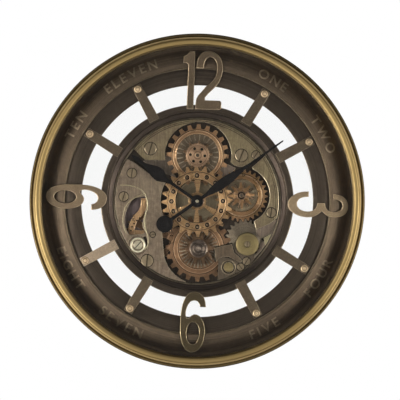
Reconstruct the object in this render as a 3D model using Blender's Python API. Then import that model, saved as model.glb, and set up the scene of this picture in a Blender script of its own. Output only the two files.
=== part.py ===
"""Industrial gear wall clock: framed dial ring, open spokes, gear drum and hands.

The hand axis is the world Y axis and the wall is the plane y = 0.
The front faces -Y. Depths below are distances from the wall, in millimetres.
"""
import math

import bmesh
import bpy
from mathutils import Vector
from mathutils.geometry import tessellate_polygon

MM = 0.001

# Clearances between parts that touch or slide
SEAT_GAP = 0.3
RUNNING_GAP = 0.3
SIDE_GAP = 0.5

# Roundness of turned and cut circles
RING_SEGMENTS = 44
DRUM_SEGMENTS = 32
RELIEF_SEGMENTS = 24
BOSS_SEGMENTS = 16
HOLE_SEGMENTS = 10
RIVET_SEGMENTS = 8
SMALL_SEGMENTS = 6

# Outer case
RIM_RADIUS = 270.0
RIM_DEPTH = 62.0
RIM_WALL = 3.0
RIM_BACK_DRAFT = 2.5
RIM_BACK_RADIUS = RIM_RADIUS - RIM_BACK_DRAFT
RIM_ROLL_WIDTH = 20.2
RIM_LIP_RADIUS = RIM_RADIUS - RIM_ROLL_WIDTH
RIM_LIP_WIDTH = 4.2
RIM_BORE_RADIUS = RIM_LIP_RADIUS + RIM_LIP_WIDTH
RIM_LIP_DEPTH = 55.0
DISH_SEAT_DEPTH = 24.0
GLASS_THICKNESS = 2.4
RETAINER_WIDTH = 3.6
RETAINER_DEPTH = 3.5

# Dial rings
DISH_SIDE_GAP = 1.7
DISH_FLANGE_RADIUS = RIM_BACK_RADIUS - RIM_WALL - DISH_SIDE_GAP
DISH_FLANGE_WIDTH = 16.8
DISH_VALLEY_RADIUS = DISH_FLANGE_RADIUS - DISH_FLANGE_WIDTH
DISH_SLOPE_WIDTH = 32.5
DISH_LIP_RADIUS = DISH_VALLEY_RADIUS - DISH_SLOPE_WIDTH
DISH_LIP_DEPTH = 36.8
DISH_SHEET = 2.5
INNER_RING_LAP = 3.5
INNER_RING_OUTER = DISH_LIP_RADIUS + INNER_RING_LAP
INNER_RING_WIDTH = 30.0
INNER_RING_INNER = INNER_RING_OUTER - INNER_RING_WIDTH
INNER_RING_FRONT = 33.0
INNER_RING_SHEET = 2.0

# Hanger
HANGER_WIDTH = 70.0
HANGER_INSET = 10.8
HANGER_TOP = DISH_FLANGE_RADIUS - HANGER_INSET
HANGER_HEIGHT = 42.0
HANGER_BOTTOM = HANGER_TOP - HANGER_HEIGHT
HANGER_SHEET = 2.0
HANGER_LEG = 6.0
KEYHOLE_DROP = 15.0
KEYHOLE_HEIGHT = HANGER_TOP - KEYHOLE_DROP
KEYHOLE_RADIUS = 5.5
KEYHOLE_SLOT = 2.6
KEYHOLE_RISE = 9.0

# Drum
DRUM_RADIUS = 155.8
DRUM_WALL = 2.5
DRUM_FLANGE_WIDTH = 11.0
DRUM_FLANGE_INNER = DRUM_RADIUS - DRUM_FLANGE_WIDTH
DRUM_FRONT = 33.0
BEZEL_WIDTH = 12.1
BEZEL_INNER = DRUM_FLANGE_INNER - BEZEL_WIDTH
BEZEL_SEAT_STEP = 5.3
BEZEL_SEAT_INNER = BEZEL_INNER + BEZEL_SEAT_STEP
BEZEL_LIP_WIDTH = 1.7
BEZEL_LIP_DEPTH = 27.5
COVER_SHEET = 2.0
BASE_BACK = 19.0
BASE_SHEET = 2.0
BASE_FRONT = BASE_BACK + BASE_SHEET

# Spokes and rivets
SPOKE_HOURS = [hour for hour in range(1, 12) if hour % 3]
SPOKE_LAP = 8.8
SPOKE_INNER = DRUM_RADIUS - SPOKE_LAP
RIVET_INSET = 17.5
RIVET_CIRCLE = INNER_RING_INNER + RIVET_INSET
SPOKE_END = 6.5
SPOKE_OUTER = RIVET_CIRCLE + SPOKE_END
SPOKE_WIDTH_INNER = 17.0
SPOKE_WIDTH_OUTER = 15.0
SPOKE_THICKNESS = 3.0
RIVET_HEAD_RADIUS = 6.4
RIVET_HEAD_HEIGHT = 2.4
RIVET_SHANK_RADIUS = 3.0
RIVET_TAIL_RADIUS = 4.8
RIVET_TAIL_HEIGHT = 1.4

# Numerals
NUMERAL_THICKNESS = 3.0
NUMERAL_FOOT_RADIUS = 2.6
NUMERAL_FOOT_RISE = 6.5
NUMERAL_LAP = 9.8
NUMERAL_INNER = DRUM_RADIUS - NUMERAL_LAP
NUMERAL_EDGE_GAP = 10.0
NUMERAL_OUTER = RIM_BORE_RADIUS - NUMERAL_EDGE_GAP

# Plates over the wheels
PLATE_EDGE_GAP = 0.7
PLATE_RADIUS = BEZEL_INNER - PLATE_EDGE_GAP
DRAWN_PLATE_RADIUS = 132.0
TRAIN_SCALE = PLATE_RADIUS / DRAWN_PLATE_RADIUS
PLATE_FRONT = 32.0
PLATE_SHEET = 4.0
LEDGE_FRONT = 23.6
COCK_BACK = 27.9
COCK_SHEET = 3.2
PLATE_FOOT_RADIUS = 5.5 * TRAIN_SCALE
COCK_FOOT_RADIUS = 4.0 * TRAIN_SCALE
SEAT_ANGLE = 218.6
SEAT_CENTRE_RADIUS = 119.0 * TRAIN_SCALE
SEAT_RADIUS = 16.4 * TRAIN_SCALE
STUD_RADIUS = 11.8 * TRAIN_SCALE
STUD_CUP_RADIUS = 9.2 * TRAIN_SCALE
WHEEL_WINDOW_GAP = 2.7 * TRAIN_SCALE

# Wheel layers, as depths of the back and front faces
LOW_BACK = 21.6
LOW_FRONT = 23.4
MIDDLE_BACK = 24.0
MIDDLE_FRONT = 25.8
RELIEF_FRONT = 27.2
UPPER_BACK = 27.8
UPPER_FRONT = 31.4
DISC_SHEET = 1.7
HUB_BACK = 21.4
POST_RADIUS = 2.5
POST_FRONT = 34.0

# Tooth form
PRESSURE_ANGLE = 25.0
ADDENDUM = 0.8
DEDENDUM = 1.05

# Large train: one leading wheel and the pinions around it
LEAD_MODULE = 4.5 * TRAIN_SCALE
LEAD_TEETH = 24
LEAD_PHASE = 3.5
LEAD_THINNING = 0.2
LEAD_HUB_RADIUS = 12.0
LEAD_SLEEVE_RADIUS = 8.0
TOP_ANGLE = 91.5
TOP_PINION_TEETH = 9
TOP_WHEEL_TEETH = 20
TOP_WHEEL_TIP = 50.3 * TRAIN_SCALE
TOP_WHEEL_ROOT = 43.0 * TRAIN_SCALE
RIGHT_ANGLE = 9.45
RIGHT_PINION_TEETH = 8
RIGHT_WHEEL_TEETH = 30
BOTTOM_ANGLE = 273.8
BOTTOM_PINION_TEETH = 10
BOTTOM_WHEEL_TEETH = 20
BOTTOM_WHEEL_TIP = 53.4 * TRAIN_SCALE
BOTTOM_WHEEL_ROOT = 46.0 * TRAIN_SCALE

# Side wheel driven by the motor, and the grey wheel under the right one
SIDE_MODULE = 4.0 * TRAIN_SCALE
SIDE_TEETH = 21
SIDE_LINE = 165.7
BOTTOM_LOW_TEETH = 18
GREY_MODULE = 2.7 * TRAIN_SCALE
GREY_TEETH = 22
GREY_LINE = 277.0
LOW_THINNING = 0.2
ARBOR_RADIUS = 2.3

# Time movement
CANNON_TEETH = 8
MINUTE_WHEEL_TEETH = 24
MINUTE_PINION_TEETH = 8
HOUR_WHEEL_TEETH = 32
HOUR_MODULE = 0.7
WORK_OFFSET = HOUR_MODULE * (MINUTE_PINION_TEETH + HOUR_WHEEL_TEETH) / 2
CANNON_MODULE = 2 * WORK_OFFSET / (CANNON_TEETH + MINUTE_WHEEL_TEETH)
WORK_THINNING = 0.15
MOVEMENT_HALF = 28.0
MOVEMENT_BACK = 2.4
MOVEMENT_FRONT = 18.6
MOVEMENT_WALL = 1.3
BUSHING_RADIUS = 4.0
BUSHING_BORE = 2.9
BUSHING_FRONT = 36.0
HOUR_TUBE_RADIUS = 2.6
HOUR_TUBE_BORE = 2.0
HOUR_TUBE_FRONT = 42.2
MINUTE_ARBOR_RADIUS = 1.7
MINUTE_ARBOR_FRONT = 47.0
WORK_ARBOR_RADIUS = 1.3
KNOB_RADIUS = 5.5

# Battery cells and the gear motor
CELL_RADIUS = 7.0
CELL_LENGTH = 49.0
CELL_AXIS_DEPTH = 10.2
TIME_CELL_HEIGHT = 19.2
GEAR_CELL_CENTRE = (66.0 * TRAIN_SCALE, 62.0 * TRAIN_SCALE)
HOLDER_WALL = 1.2
MOTOR_RADIUS = 17.0

# Hands
HAND_SHEET = 1.2
HOUR_HAND_BACK = 40.0
MINUTE_HAND_BACK = 44.0
HOUR_HAND_ANGLE = 303.0
MINUTE_HAND_ANGLE = 52.8
CAP_RADIUS = 2.7

# Finishes as colour, metallic and roughness
FINISHES = {
    "rim_gold": ((0.34, 0.24, 0.12), 0.85, 0.38),
    "dish_bronze": ((0.13, 0.09, 0.06), 0.7, 0.45),
    "ring_dark": ((0.06, 0.045, 0.035), 0.6, 0.5),
    "bar_bronze": ((0.22, 0.16, 0.10), 0.8, 0.42),
    "rivet_brass": ((0.50, 0.38, 0.22), 0.9, 0.35),
    "plate_bronze": ((0.27, 0.21, 0.13), 0.8, 0.42),
    "base_dark": ((0.05, 0.04, 0.035), 0.5, 0.55),
    "wheel_copper": ((0.55, 0.31, 0.13), 0.9, 0.33),
    "disc_brass": ((0.36, 0.30, 0.13), 0.85, 0.4),
    "wheel_steel": ((0.30, 0.28, 0.26), 0.9, 0.35),
    "cap_dark": ((0.10, 0.07, 0.06), 0.7, 0.45),
    "post_steel": ((0.62, 0.60, 0.56), 1.0, 0.25),
    "hand_black": ((0.012, 0.011, 0.012), 0.2, 0.45),
    "glass": ((0.92, 0.95, 0.94), 0.0, 0.05),
    "case_plastic": ((0.02, 0.02, 0.02), 0.0, 0.5),
    "gear_plastic": ((0.75, 0.74, 0.70), 0.0, 0.45),
    "cell_wrap": ((0.06, 0.08, 0.07), 0.3, 0.4),
    "back_steel": ((0.10, 0.10, 0.10), 0.7, 0.5),
}


def finish_material(node_name, finish):
    """Make the node's own material from a named finish."""
    colour, metallic, roughness = FINISHES[finish]
    material = bpy.data.materials.new(node_name + "_finish")
    material.use_nodes = True
    shader = material.node_tree.nodes["Principled BSDF"]
    shader.inputs["Base Color"].default_value = (*colour, 1.0)
    shader.inputs["Metallic"].default_value = metallic
    shader.inputs["Roughness"].default_value = roughness
    return material


def add_node(name, work, finish, origin=(0.0, 0.0)):
    """Turn a finished mesh into a named part whose origin sits at (x, z)."""
    shift = Vector((origin[0] * MM, 0.0, origin[1] * MM))
    bmesh.ops.translate(work, verts=work.verts, vec=-shift)
    bmesh.ops.recalc_face_normals(work, faces=work.faces)
    mesh = bpy.data.meshes.new(name)
    work.to_mesh(mesh)
    work.free()
    mesh.shade_smooth()
    mesh.set_sharp_from_angle(angle=math.radians(32.0))
    part = bpy.data.objects.new(name, mesh)
    part.location = shift
    part.data.materials.append(finish_material(name, finish))
    bpy.context.scene.collection.objects.link(part)
    return part


def polar(radius, degrees, centre=(0.0, 0.0)):
    """Give the (x, z) point at a radius and an angle from +X."""
    angle = math.radians(degrees)
    return (centre[0] + radius * math.cos(angle), centre[1] + radius * math.sin(angle))


def circle(radius, centre=(0.0, 0.0), segments=RING_SEGMENTS):
    """Give a round outline."""
    return [polar(radius, 360.0 * index / segments, centre) for index in range(segments)]


def arc(radius, start, end, parts, centre=(0.0, 0.0)):
    """Give points along part of a circle, both ends included."""
    turn = (end - start) / parts
    return [polar(radius, start + turn * index, centre) for index in range(parts + 1)]


def rectangle(left, right, bottom, top):
    """Give a rectangular outline."""
    return [(left, bottom), (right, bottom), (right, top), (left, top)]


def fit(length):
    """Size a length drawn for the drawn plate radius to the real one."""
    return length * TRAIN_SCALE


def fitted(points):
    """Size points drawn for the drawn plate radius to the real one."""
    return [(fit(x), fit(z)) for x, z in points]


def turned_about(points, clock_degrees):
    """Turn points from the upright position clockwise as seen from the front."""
    angle = math.radians(clock_degrees)
    cosine, sine = math.cos(angle), math.sin(angle)
    return [(x * cosine + z * sine, z * cosine - x * sine) for x, z in points]


def step(outline, back, front, inside=()):
    """Describe a flat level of a part and the levels nested in it."""
    return {"outline": outline, "back": back, "front": front, "inside": list(inside)}


def hole(outline):
    """Describe an opening through a level."""
    return {"outline": outline, "back": None, "front": None, "inside": []}


def level_vertices(work, level, depth, store):
    """Give the vertices of a level's outline at one depth, made once."""
    key = (id(level), round(depth, 5))
    if key not in store:
        store[key] = [work.verts.new((x * MM, -depth * MM, z * MM)) for x, z in level["outline"]]
    return store[key]


def add_wall(work, level, first, second, store):
    """Close the side of a level between two depths."""
    lower = level_vertices(work, level, first, store)
    upper = level_vertices(work, level, second, store)
    for index in range(len(lower)):
        after = (index + 1) % len(lower)
        work.faces.new((lower[index], lower[after], upper[after], upper[index]))


def edges_inside(level, side):
    """List the nested outlines where a level's front or back face really ends."""
    found = []
    for child in level["inside"]:
        if child[side] is None or abs(child[side] - level[side]) > 1e-6:
            found.append(child)
        else:
            found += edges_inside(child, side)
    return found


def add_face(work, level, side, store):
    """Fill a level's front or back face around everything that interrupts it."""
    loops = [level] + edges_inside(level, side)
    corners = [[Vector((x, z, 0.0)) for x, z in loop["outline"]] for loop in loops]
    vertices = []
    for loop in loops:
        vertices += level_vertices(work, loop, level[side], store)
    for triangle in tessellate_polygon(corners):
        work.faces.new([vertices[corner] for corner in triangle])


def add_levels(work, level, store):
    """Build the walls and faces of everything nested in a level."""
    for child in level["inside"]:
        if child["back"] is None:
            add_wall(work, child, level["back"], level["front"], store)
            continue
        for side in ("back", "front"):
            if abs(child[side] - level[side]) > 1e-6:
                add_wall(work, child, level[side], child[side], store)
                add_face(work, child, side, store)
        add_levels(work, child, store)


def flat_part(name, level, finish, origin=(0.0, 0.0)):
    """Build a part cut and stepped from flat levels."""
    work = bmesh.new()
    store = {}
    add_wall(work, level, level["back"], level["front"], store)
    add_face(work, level, "back", store)
    add_face(work, level, "front", store)
    add_levels(work, level, store)
    return add_node(name, work, finish, origin)


def turned_part(name, profile, segments, finish, centre=(0.0, 0.0), along_x=False):
    """Turn a closed profile of (radius, depth) about an axis along Y, or along X."""
    work = bmesh.new()
    rings = []
    for radius, depth in profile:
        count = segments if radius > 1e-6 else 1
        ring = []
        for x, z in circle(radius, segments=segments)[:count]:
            point = (depth, -x - CELL_AXIS_DEPTH, z) if along_x else (x, -depth, z)
            ring.append(work.verts.new((Vector(point) + Vector((centre[0], 0, centre[1]))) * MM))
        rings.append(ring)
    for ring, following in zip(rings, rings[1:] + rings[:1]):
        for index in range(segments):
            after = (index + 1) % segments
            corners = [ring[index % len(ring)], ring[after % len(ring)]]
            corners += [following[after % len(following)], following[index % len(following)]]
            corners = list(dict.fromkeys(corners))
            if len(corners) > 2:
                work.faces.new(corners)
    return add_node(name, work, finish, centre)


def gear_outline(teeth, module, phase, thinning, centre=(0.0, 0.0)):
    """Give an involute tooth outline with one tooth centred on the phase angle."""
    pitch = module * teeth / 2
    tip = pitch + ADDENDUM * module
    root = pitch - DEDENDUM * module
    pressure = math.radians(PRESSURE_ANGLE)
    base = pitch * math.cos(pressure)
    half_tooth = (math.pi * module / 2 - 2 * thinning) / (2 * pitch)
    outline = []
    for tooth in range(teeth):
        middle = phase + 360.0 * tooth / teeth
        flank = []
        for radius in (root, tip):
            slope = math.acos(base / max(radius, base))
            spread = half_tooth + math.tan(pressure) - pressure - math.tan(slope) + slope
            flank.append((radius, math.degrees(spread)))
        outline += [polar(radius, middle - spread, centre) for radius, spread in flank]
        outline += [polar(radius, middle + spread, centre) for radius, spread in reversed(flank)]
    return outline


def show_tooth_outline(teeth, tip, root, phase, centre):
    """Give the blunt teeth of a wheel that meshes with nothing."""
    outline = []
    pitch = 360.0 / teeth
    for tooth in range(teeth):
        middle = phase + tooth * pitch
        for radius, share in ((root, -0.3), (tip, -0.17), (tip, 0.17), (root, 0.3)):
            outline.append(polar(radius, middle + share * pitch, centre))
    return outline


def follower_phase(line, lead_phase, lead_teeth, teeth):
    """Give the follower's tooth phase that meshes with a lead wheel along a line."""
    lead_step = 360.0 / lead_teeth
    ahead = (lead_phase - line + lead_step / 2) % lead_step - lead_step / 2
    return line + 180.0 - ahead * lead_teeth / teeth + 180.0 / teeth


def pitch_distance(module, first, second):
    """Give the distance between the axes of two meshing wheels."""
    return module * (first + second) / 2


# Wheel axes, each placed by its mesh with the wheel before it
TOP_CENTRE = polar(pitch_distance(LEAD_MODULE, LEAD_TEETH, TOP_PINION_TEETH), TOP_ANGLE)
RIGHT_CENTRE = polar(pitch_distance(LEAD_MODULE, LEAD_TEETH, RIGHT_PINION_TEETH), RIGHT_ANGLE)
BOTTOM_CENTRE = polar(pitch_distance(LEAD_MODULE, LEAD_TEETH, BOTTOM_PINION_TEETH), BOTTOM_ANGLE)
SIDE_DISTANCE = pitch_distance(SIDE_MODULE, BOTTOM_LOW_TEETH, SIDE_TEETH)
SIDE_CENTRE = polar(SIDE_DISTANCE, SIDE_LINE, BOTTOM_CENTRE)
GREY_DISTANCE = pitch_distance(GREY_MODULE, RIGHT_WHEEL_TEETH, GREY_TEETH)
GREY_CENTRE = polar(GREY_DISTANCE, GREY_LINE, RIGHT_CENTRE)
SEAT_CENTRE = polar(SEAT_CENTRE_RADIUS, SEAT_ANGLE)


def clear_scene():
    """Remove everything the new scene starts with."""
    for thing in list(bpy.data.objects):
        bpy.data.objects.remove(thing, do_unlink=True)


# Outer case and dial rings

# Bead, groove and roll: each point's inset from the rim radius and drop from the front
RIM_FRONT_SECTION = [
    (0.0, 15.0), (1.6, 10.5), (3.8, 13.0), (5.4, 7.6), (8.8, 2.2), (13.4, 0.0), (17.8, 1.4),
    (RIM_ROLL_WIDTH, 4.6),
]


def build_rim():
    """Turn the hollow rim: outer bead, groove, main roll, glass lip and bore wall."""
    profile = [(RIM_BACK_RADIUS, 0.0)]
    profile += [(RIM_RADIUS - inset, RIM_DEPTH - drop) for inset, drop in RIM_FRONT_SECTION]
    inner_wall = RIM_BORE_RADIUS + RIM_WALL
    profile += [
        (RIM_LIP_RADIUS, RIM_LIP_DEPTH), (RIM_BORE_RADIUS, RIM_LIP_DEPTH),
        (RIM_BORE_RADIUS, DISH_SEAT_DEPTH), (inner_wall, DISH_SEAT_DEPTH),
        (inner_wall, RIM_DEPTH - 4.5), (RIM_RADIUS - 9.0, RIM_DEPTH - 7.0),
        (RIM_RADIUS - 7.0, RIM_DEPTH - 17.0), (RIM_BACK_RADIUS - RIM_WALL, 0.0),
    ]
    turned_part("rim_case", profile, RING_SEGMENTS, "rim_gold")


def build_glass():
    """Make the front glass under the rim lip and the ring that holds it."""
    radius = RIM_BORE_RADIUS - SIDE_GAP
    front = RIM_LIP_DEPTH - SEAT_GAP
    back = front - GLASS_THICKNESS
    flat_part("front_glass", step(circle(radius), back, front), "glass")
    ring_front = back - SEAT_GAP
    ring_back = ring_front - RETAINER_DEPTH
    bore = radius - RETAINER_WIDTH
    profile = [(radius, ring_back), (radius, ring_front), (bore, ring_front), (bore, ring_back)]
    turned_part("glass_retainer", profile, RING_SEGMENTS, "ring_dark")


def build_dish():
    """Turn the chapter ring: raised inner lip, curved slope and hidden outer flange."""
    front = DISH_SEAT_DEPTH - SEAT_GAP
    back = front - DISH_SHEET
    lip = DISH_LIP_RADIUS
    lip_back = INNER_RING_FRONT + SEAT_GAP
    profile = [
        (DISH_FLANGE_RADIUS, back), (DISH_FLANGE_RADIUS, front), (DISH_VALLEY_RADIUS, front),
        (lip + 22.5, 30.0), (lip + 12.5, 34.6), (lip + 3.5, DISH_LIP_DEPTH), (lip, DISH_LIP_DEPTH),
        (lip, lip_back), (lip + 4.7, lip_back), (lip + 18.5, 28.8), (lip + 30.1, back),
    ]
    turned_part("chapter_ring", profile, RING_SEGMENTS, "dish_bronze")


def build_inner_ring():
    """Cut the flat ring under the lip, with a rivet hole for each spoke."""
    holes = [hole(circle(INNER_RING_INNER))]
    for hour in SPOKE_HOURS:
        centre = turned_about([(0.0, RIVET_CIRCLE)], hour * 30.0)[0]
        bore = RIVET_SHANK_RADIUS + RUNNING_GAP
        holes.append(hole(circle(bore, centre, segments=RIVET_SEGMENTS)))
    back = INNER_RING_FRONT - INNER_RING_SHEET
    flat_part("inner_ring", step(circle(INNER_RING_OUTER), back, INNER_RING_FRONT, holes), "ring_dark")


def build_hanger():
    """Bend the hanger: a keyhole web at the wall with two legs up to the dial flange."""
    half = HANGER_WIDTH / 2
    edge = math.degrees(math.asin(KEYHOLE_SLOT / KEYHOLE_RADIUS))
    keyhole = arc(KEYHOLE_RADIUS, 90.0 + edge, 450.0 - edge, 12, (0.0, KEYHOLE_HEIGHT))
    keyhole += arc(KEYHOLE_SLOT, 0.0, 180.0, 4, (0.0, KEYHOLE_HEIGHT + KEYHOLE_RISE))
    leg_front = DISH_SEAT_DEPTH - SEAT_GAP - DISH_SHEET - SEAT_GAP
    inside = [hole(keyhole)]
    for left in (-half + 1.0, half - 1.0 - HANGER_LEG):
        leg = rectangle(left, left + HANGER_LEG, HANGER_BOTTOM + 1.0, HANGER_TOP - 1.0)
        inside.append(step(leg, 0.0, leg_front))
    web = rectangle(-half, half, HANGER_BOTTOM, HANGER_TOP)
    flat_part("hanger_bracket", step(web, 0.0, HANGER_SHEET, inside), "back_steel")


# Numerals, upright outlines with the top of the figure pointing outward

ONE_OUTLINE = [
    (-22.6, 148.2), (-11.6, 148.2), (-11.6, 241.5), (-20.6, 241.5), (-24.2, 236.0), (-30.4, 232.8),
    (-30.4, 221.8), (-25.4, 222.2), (-22.0, 219.5),
]

TWO_OUTLINE = [
    (-8.4, 148.2), (30.2, 148.2), (33.2, 150.4), (33.2, 160.6), (30.6, 163.2), (6.6, 163.2),
    (6.6, 167.5), (12.4, 174.6), (19.6, 181.8), (26.4, 190.0), (30.8, 199.0), (33.2, 209.0),
    (33.2, 219.0), (30.8, 229.0), (25.6, 236.8), (17.6, 241.6), (8.4, 242.8), (0.4, 240.0),
    (-5.4, 233.6), (-8.4, 224.6), (-8.8, 214.4), (2.8, 214.4), (3.4, 222.6), (6.8, 230.4),
    (12.6, 233.4), (18.6, 230.8), (23.0, 224.6), (24.4, 216.0), (23.8, 207.0), (20.4, 198.0),
    (14.6, 191.4), (7.4, 185.4), (1.0, 177.4), (-5.2, 169.8), (-8.0, 162.0),
]

THREE_OUTLINE = [
    (-22.2, 179.4), (-21.6, 169.6), (-18.8, 160.4), (-13.8, 152.6), (-7.4, 147.6), (-0.6, 146.2),
    (5.8, 148.0), (11.4, 153.0), (16.2, 161.2), (19.0, 171.0), (19.4, 180.8), (17.6, 189.6),
    (13.4, 196.4), (9.0, 201.6), (12.6, 205.4), (16.8, 211.6), (18.0, 220.0), (17.2, 229.0),
    (14.0, 237.0), (8.2, 242.0), (0.4, 243.6), (-8.0, 242.0), (-14.4, 236.8), (-18.2, 228.8),
    (-19.6, 219.0), (-11.4, 219.0), (-10.2, 226.2), (-6.2, 232.6), (-0.4, 235.0), (5.2, 232.6),
    (8.8, 226.0), (9.6, 218.4), (7.2, 211.6), (2.2, 207.4), (-4.2, 206.2), (-4.2, 194.0),
    (2.0, 192.4), (6.8, 188.8), (9.6, 182.6), (9.6, 173.6), (6.8, 166.0), (1.8, 161.4),
    (-4.4, 161.0), (-9.6, 164.6), (-12.6, 171.0), (-13.6, 179.4),
]

NINE_OUTLINE = [
    (-20.4, 170.4), (-19.0, 161.0), (-15.4, 153.0), (-9.4, 147.8), (-2.4, 146.0), (4.6, 147.2),
    (10.6, 152.0), (15.2, 160.0), (18.2, 170.0), (19.8, 181.6), (20.2, 195.0), (20.0, 210.0),
    (18.0, 224.0), (13.6, 235.2), (7.4, 242.0), (-0.4, 244.0), (-8.4, 241.4), (-14.8, 233.6),
    (-18.8, 222.0), (-20.0, 209.0), (-17.8, 197.0), (-13.0, 187.4), (-7.0, 183.0), (-1.4, 182.4),
    (3.4, 185.4), (6.6, 189.2), (10.0, 189.0), (11.6, 184.0), (11.2, 176.0), (8.6, 168.0),
    (4.4, 162.0), (-1.4, 160.2), (-6.6, 161.6), (-9.6, 165.6), (-11.0, 170.4),
]

NINE_EYE_CENTRE = (-0.6, 213.0)
NINE_EYE_HALF_WIDTH = 10.4
NINE_EYE_HALF_HEIGHT = 18.0

DRAWN_BOTTOM = min(z for _, z in NINE_OUTLINE)
DRAWN_TOP = max(z for _, z in NINE_OUTLINE)


def figure_points(drawn):
    """Stretch drawn points so that a figure spans from the drum flange to the rim."""
    stretch = (NUMERAL_OUTER - NUMERAL_INNER) / (DRAWN_TOP - DRAWN_BOTTOM)
    return [(x, NUMERAL_INNER + (z - DRAWN_BOTTOM) * stretch) for x, z in drawn]


def build_numeral(name, outline, clock_degrees, foot_offset, eye=None):
    """Cut one figure and leave a foot behind it for the drum flange."""
    back = DISH_LIP_DEPTH + SEAT_GAP
    front = back + NUMERAL_THICKNESS
    foot_centre = figure_points([(foot_offset, DRAWN_BOTTOM + NUMERAL_FOOT_RISE)])[0]
    foot = circle(NUMERAL_FOOT_RADIUS, foot_centre, segments=HOLE_SEGMENTS)
    inside = [step(turned_about(foot, clock_degrees), DRUM_FRONT + SEAT_GAP, front)]
    if eye:
        inside.append(hole(turned_about(figure_points(eye), clock_degrees)))
    figure = turned_about(figure_points(outline), clock_degrees)
    flat_part(name, step(figure, back, front, inside), "bar_bronze")


def build_numerals():
    """Make the figures of 12, 3, 6 and 9."""
    eye = []
    for x, z in circle(1.0, segments=BOSS_SEGMENTS):
        across = NINE_EYE_CENTRE[0] + x * NINE_EYE_HALF_WIDTH
        eye.append((across, NINE_EYE_CENTRE[1] + z * NINE_EYE_HALF_HEIGHT))
    build_numeral("numeral_12_one", ONE_OUTLINE, 0.0, -17.0)
    build_numeral("numeral_12_two", TWO_OUTLINE, 0.0, 12.0)
    build_numeral("numeral_3", THREE_OUTLINE, 90.0, -1.0)
    build_numeral("numeral_6", NINE_OUTLINE, 180.0, -2.0, eye)
    build_numeral("numeral_9", NINE_OUTLINE, 270.0, -2.0, eye)


# Spokes and rivets

def build_spokes():
    """Cut the flat spokes that carry the drum and set a rivet through each."""
    back = INNER_RING_FRONT + SEAT_GAP
    front = back + SPOKE_THICKNESS
    half_in, half_out = SPOKE_WIDTH_INNER / 2, SPOKE_WIDTH_OUTER / 2
    bar = [
        (-half_in, SPOKE_INNER), (half_in, SPOKE_INNER), (half_out, SPOKE_OUTER), (-half_out, SPOKE_OUTER),
    ]
    bore = circle(RIVET_SHANK_RADIUS + RUNNING_GAP, (0.0, RIVET_CIRCLE), segments=RIVET_SEGMENTS)
    head = front + SEAT_GAP
    tail = INNER_RING_FRONT - INNER_RING_SHEET - SEAT_GAP
    profile = [
        (0.0, head + RIVET_HEAD_HEIGHT), (RIVET_HEAD_RADIUS * 0.6, head + RIVET_HEAD_HEIGHT * 0.8),
        (RIVET_HEAD_RADIUS, head), (RIVET_SHANK_RADIUS, head), (RIVET_SHANK_RADIUS, tail),
        (RIVET_TAIL_RADIUS, tail), (0.0, tail - RIVET_TAIL_HEIGHT),
    ]
    for hour in SPOKE_HOURS:
        turn = hour * 30.0
        level = step(turned_about(bar, turn), back, front, [hole(turned_about(bore, turn))])
        flat_part(f"spoke_{hour:02d}", level, "bar_bronze")
        centre = turned_about([(0.0, RIVET_CIRCLE)], turn)[0]
        turned_part(f"rivet_{hour:02d}", profile, RIVET_SEGMENTS, "rivet_brass", centre)


# Drum

def build_drum():
    """Turn the drum wall, the sloping bezel inside it and the back cover."""
    bore = DRUM_RADIUS - DRUM_WALL
    flange_back = DRUM_FRONT - DRUM_WALL
    case = [
        (DRUM_RADIUS, 0.0), (DRUM_RADIUS, DRUM_FRONT), (DRUM_FLANGE_INNER, DRUM_FRONT),
        (DRUM_FLANGE_INNER, flange_back), (bore, flange_back), (bore, 0.0),
    ]
    turned_part("drum_case", case, DRUM_SEGMENTS, "ring_dark")
    outer = bore - SIDE_GAP
    seat = BASE_FRONT + SEAT_GAP
    shoulder = flange_back - SEAT_GAP
    rise = DRUM_FLANGE_INNER - SEAT_GAP
    bezel = [
        (outer, seat), (outer, shoulder), (rise, shoulder), (rise, DRUM_FRONT - 0.6),
        (BEZEL_INNER + BEZEL_LIP_WIDTH, BEZEL_LIP_DEPTH), (BEZEL_INNER, BEZEL_LIP_DEPTH),
        (BEZEL_INNER, BEZEL_LIP_DEPTH - 1.5), (BEZEL_SEAT_INNER, BEZEL_LIP_DEPTH - 1.5),
        (BEZEL_SEAT_INNER, seat),
    ]
    turned_part("drum_bezel", bezel, DRUM_SEGMENTS, "ring_dark")
    build_back_cover(outer)


def build_back_cover(radius):
    """Make the cup that closes the drum, open behind the cells and the setting knob."""
    wall_front = BASE_BACK - SEAT_GAP
    wall_inner = circle(radius - DRUM_WALL, segments=DRUM_SEGMENTS)
    half = CELL_LENGTH / 2 + 2.0
    reach = CELL_RADIUS + 1.0
    cell_x, cell_z = GEAR_CELL_CENTRE
    windows = [
        hole(circle(KNOB_RADIUS + 1.5, (0.0, -WORK_OFFSET), segments=BOSS_SEGMENTS)),
        hole(rectangle(-half, half, TIME_CELL_HEIGHT - reach, TIME_CELL_HEIGHT + reach)),
        hole(rectangle(cell_x - half, cell_x + half, cell_z - reach, cell_z + reach)),
    ]
    floor = step(wall_inner, 0.0, COVER_SHEET, windows)
    cup = step(circle(radius, segments=DRUM_SEGMENTS), 0.0, wall_front, [floor])
    flat_part("drum_back_cover", cup, "back_steel")


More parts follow.
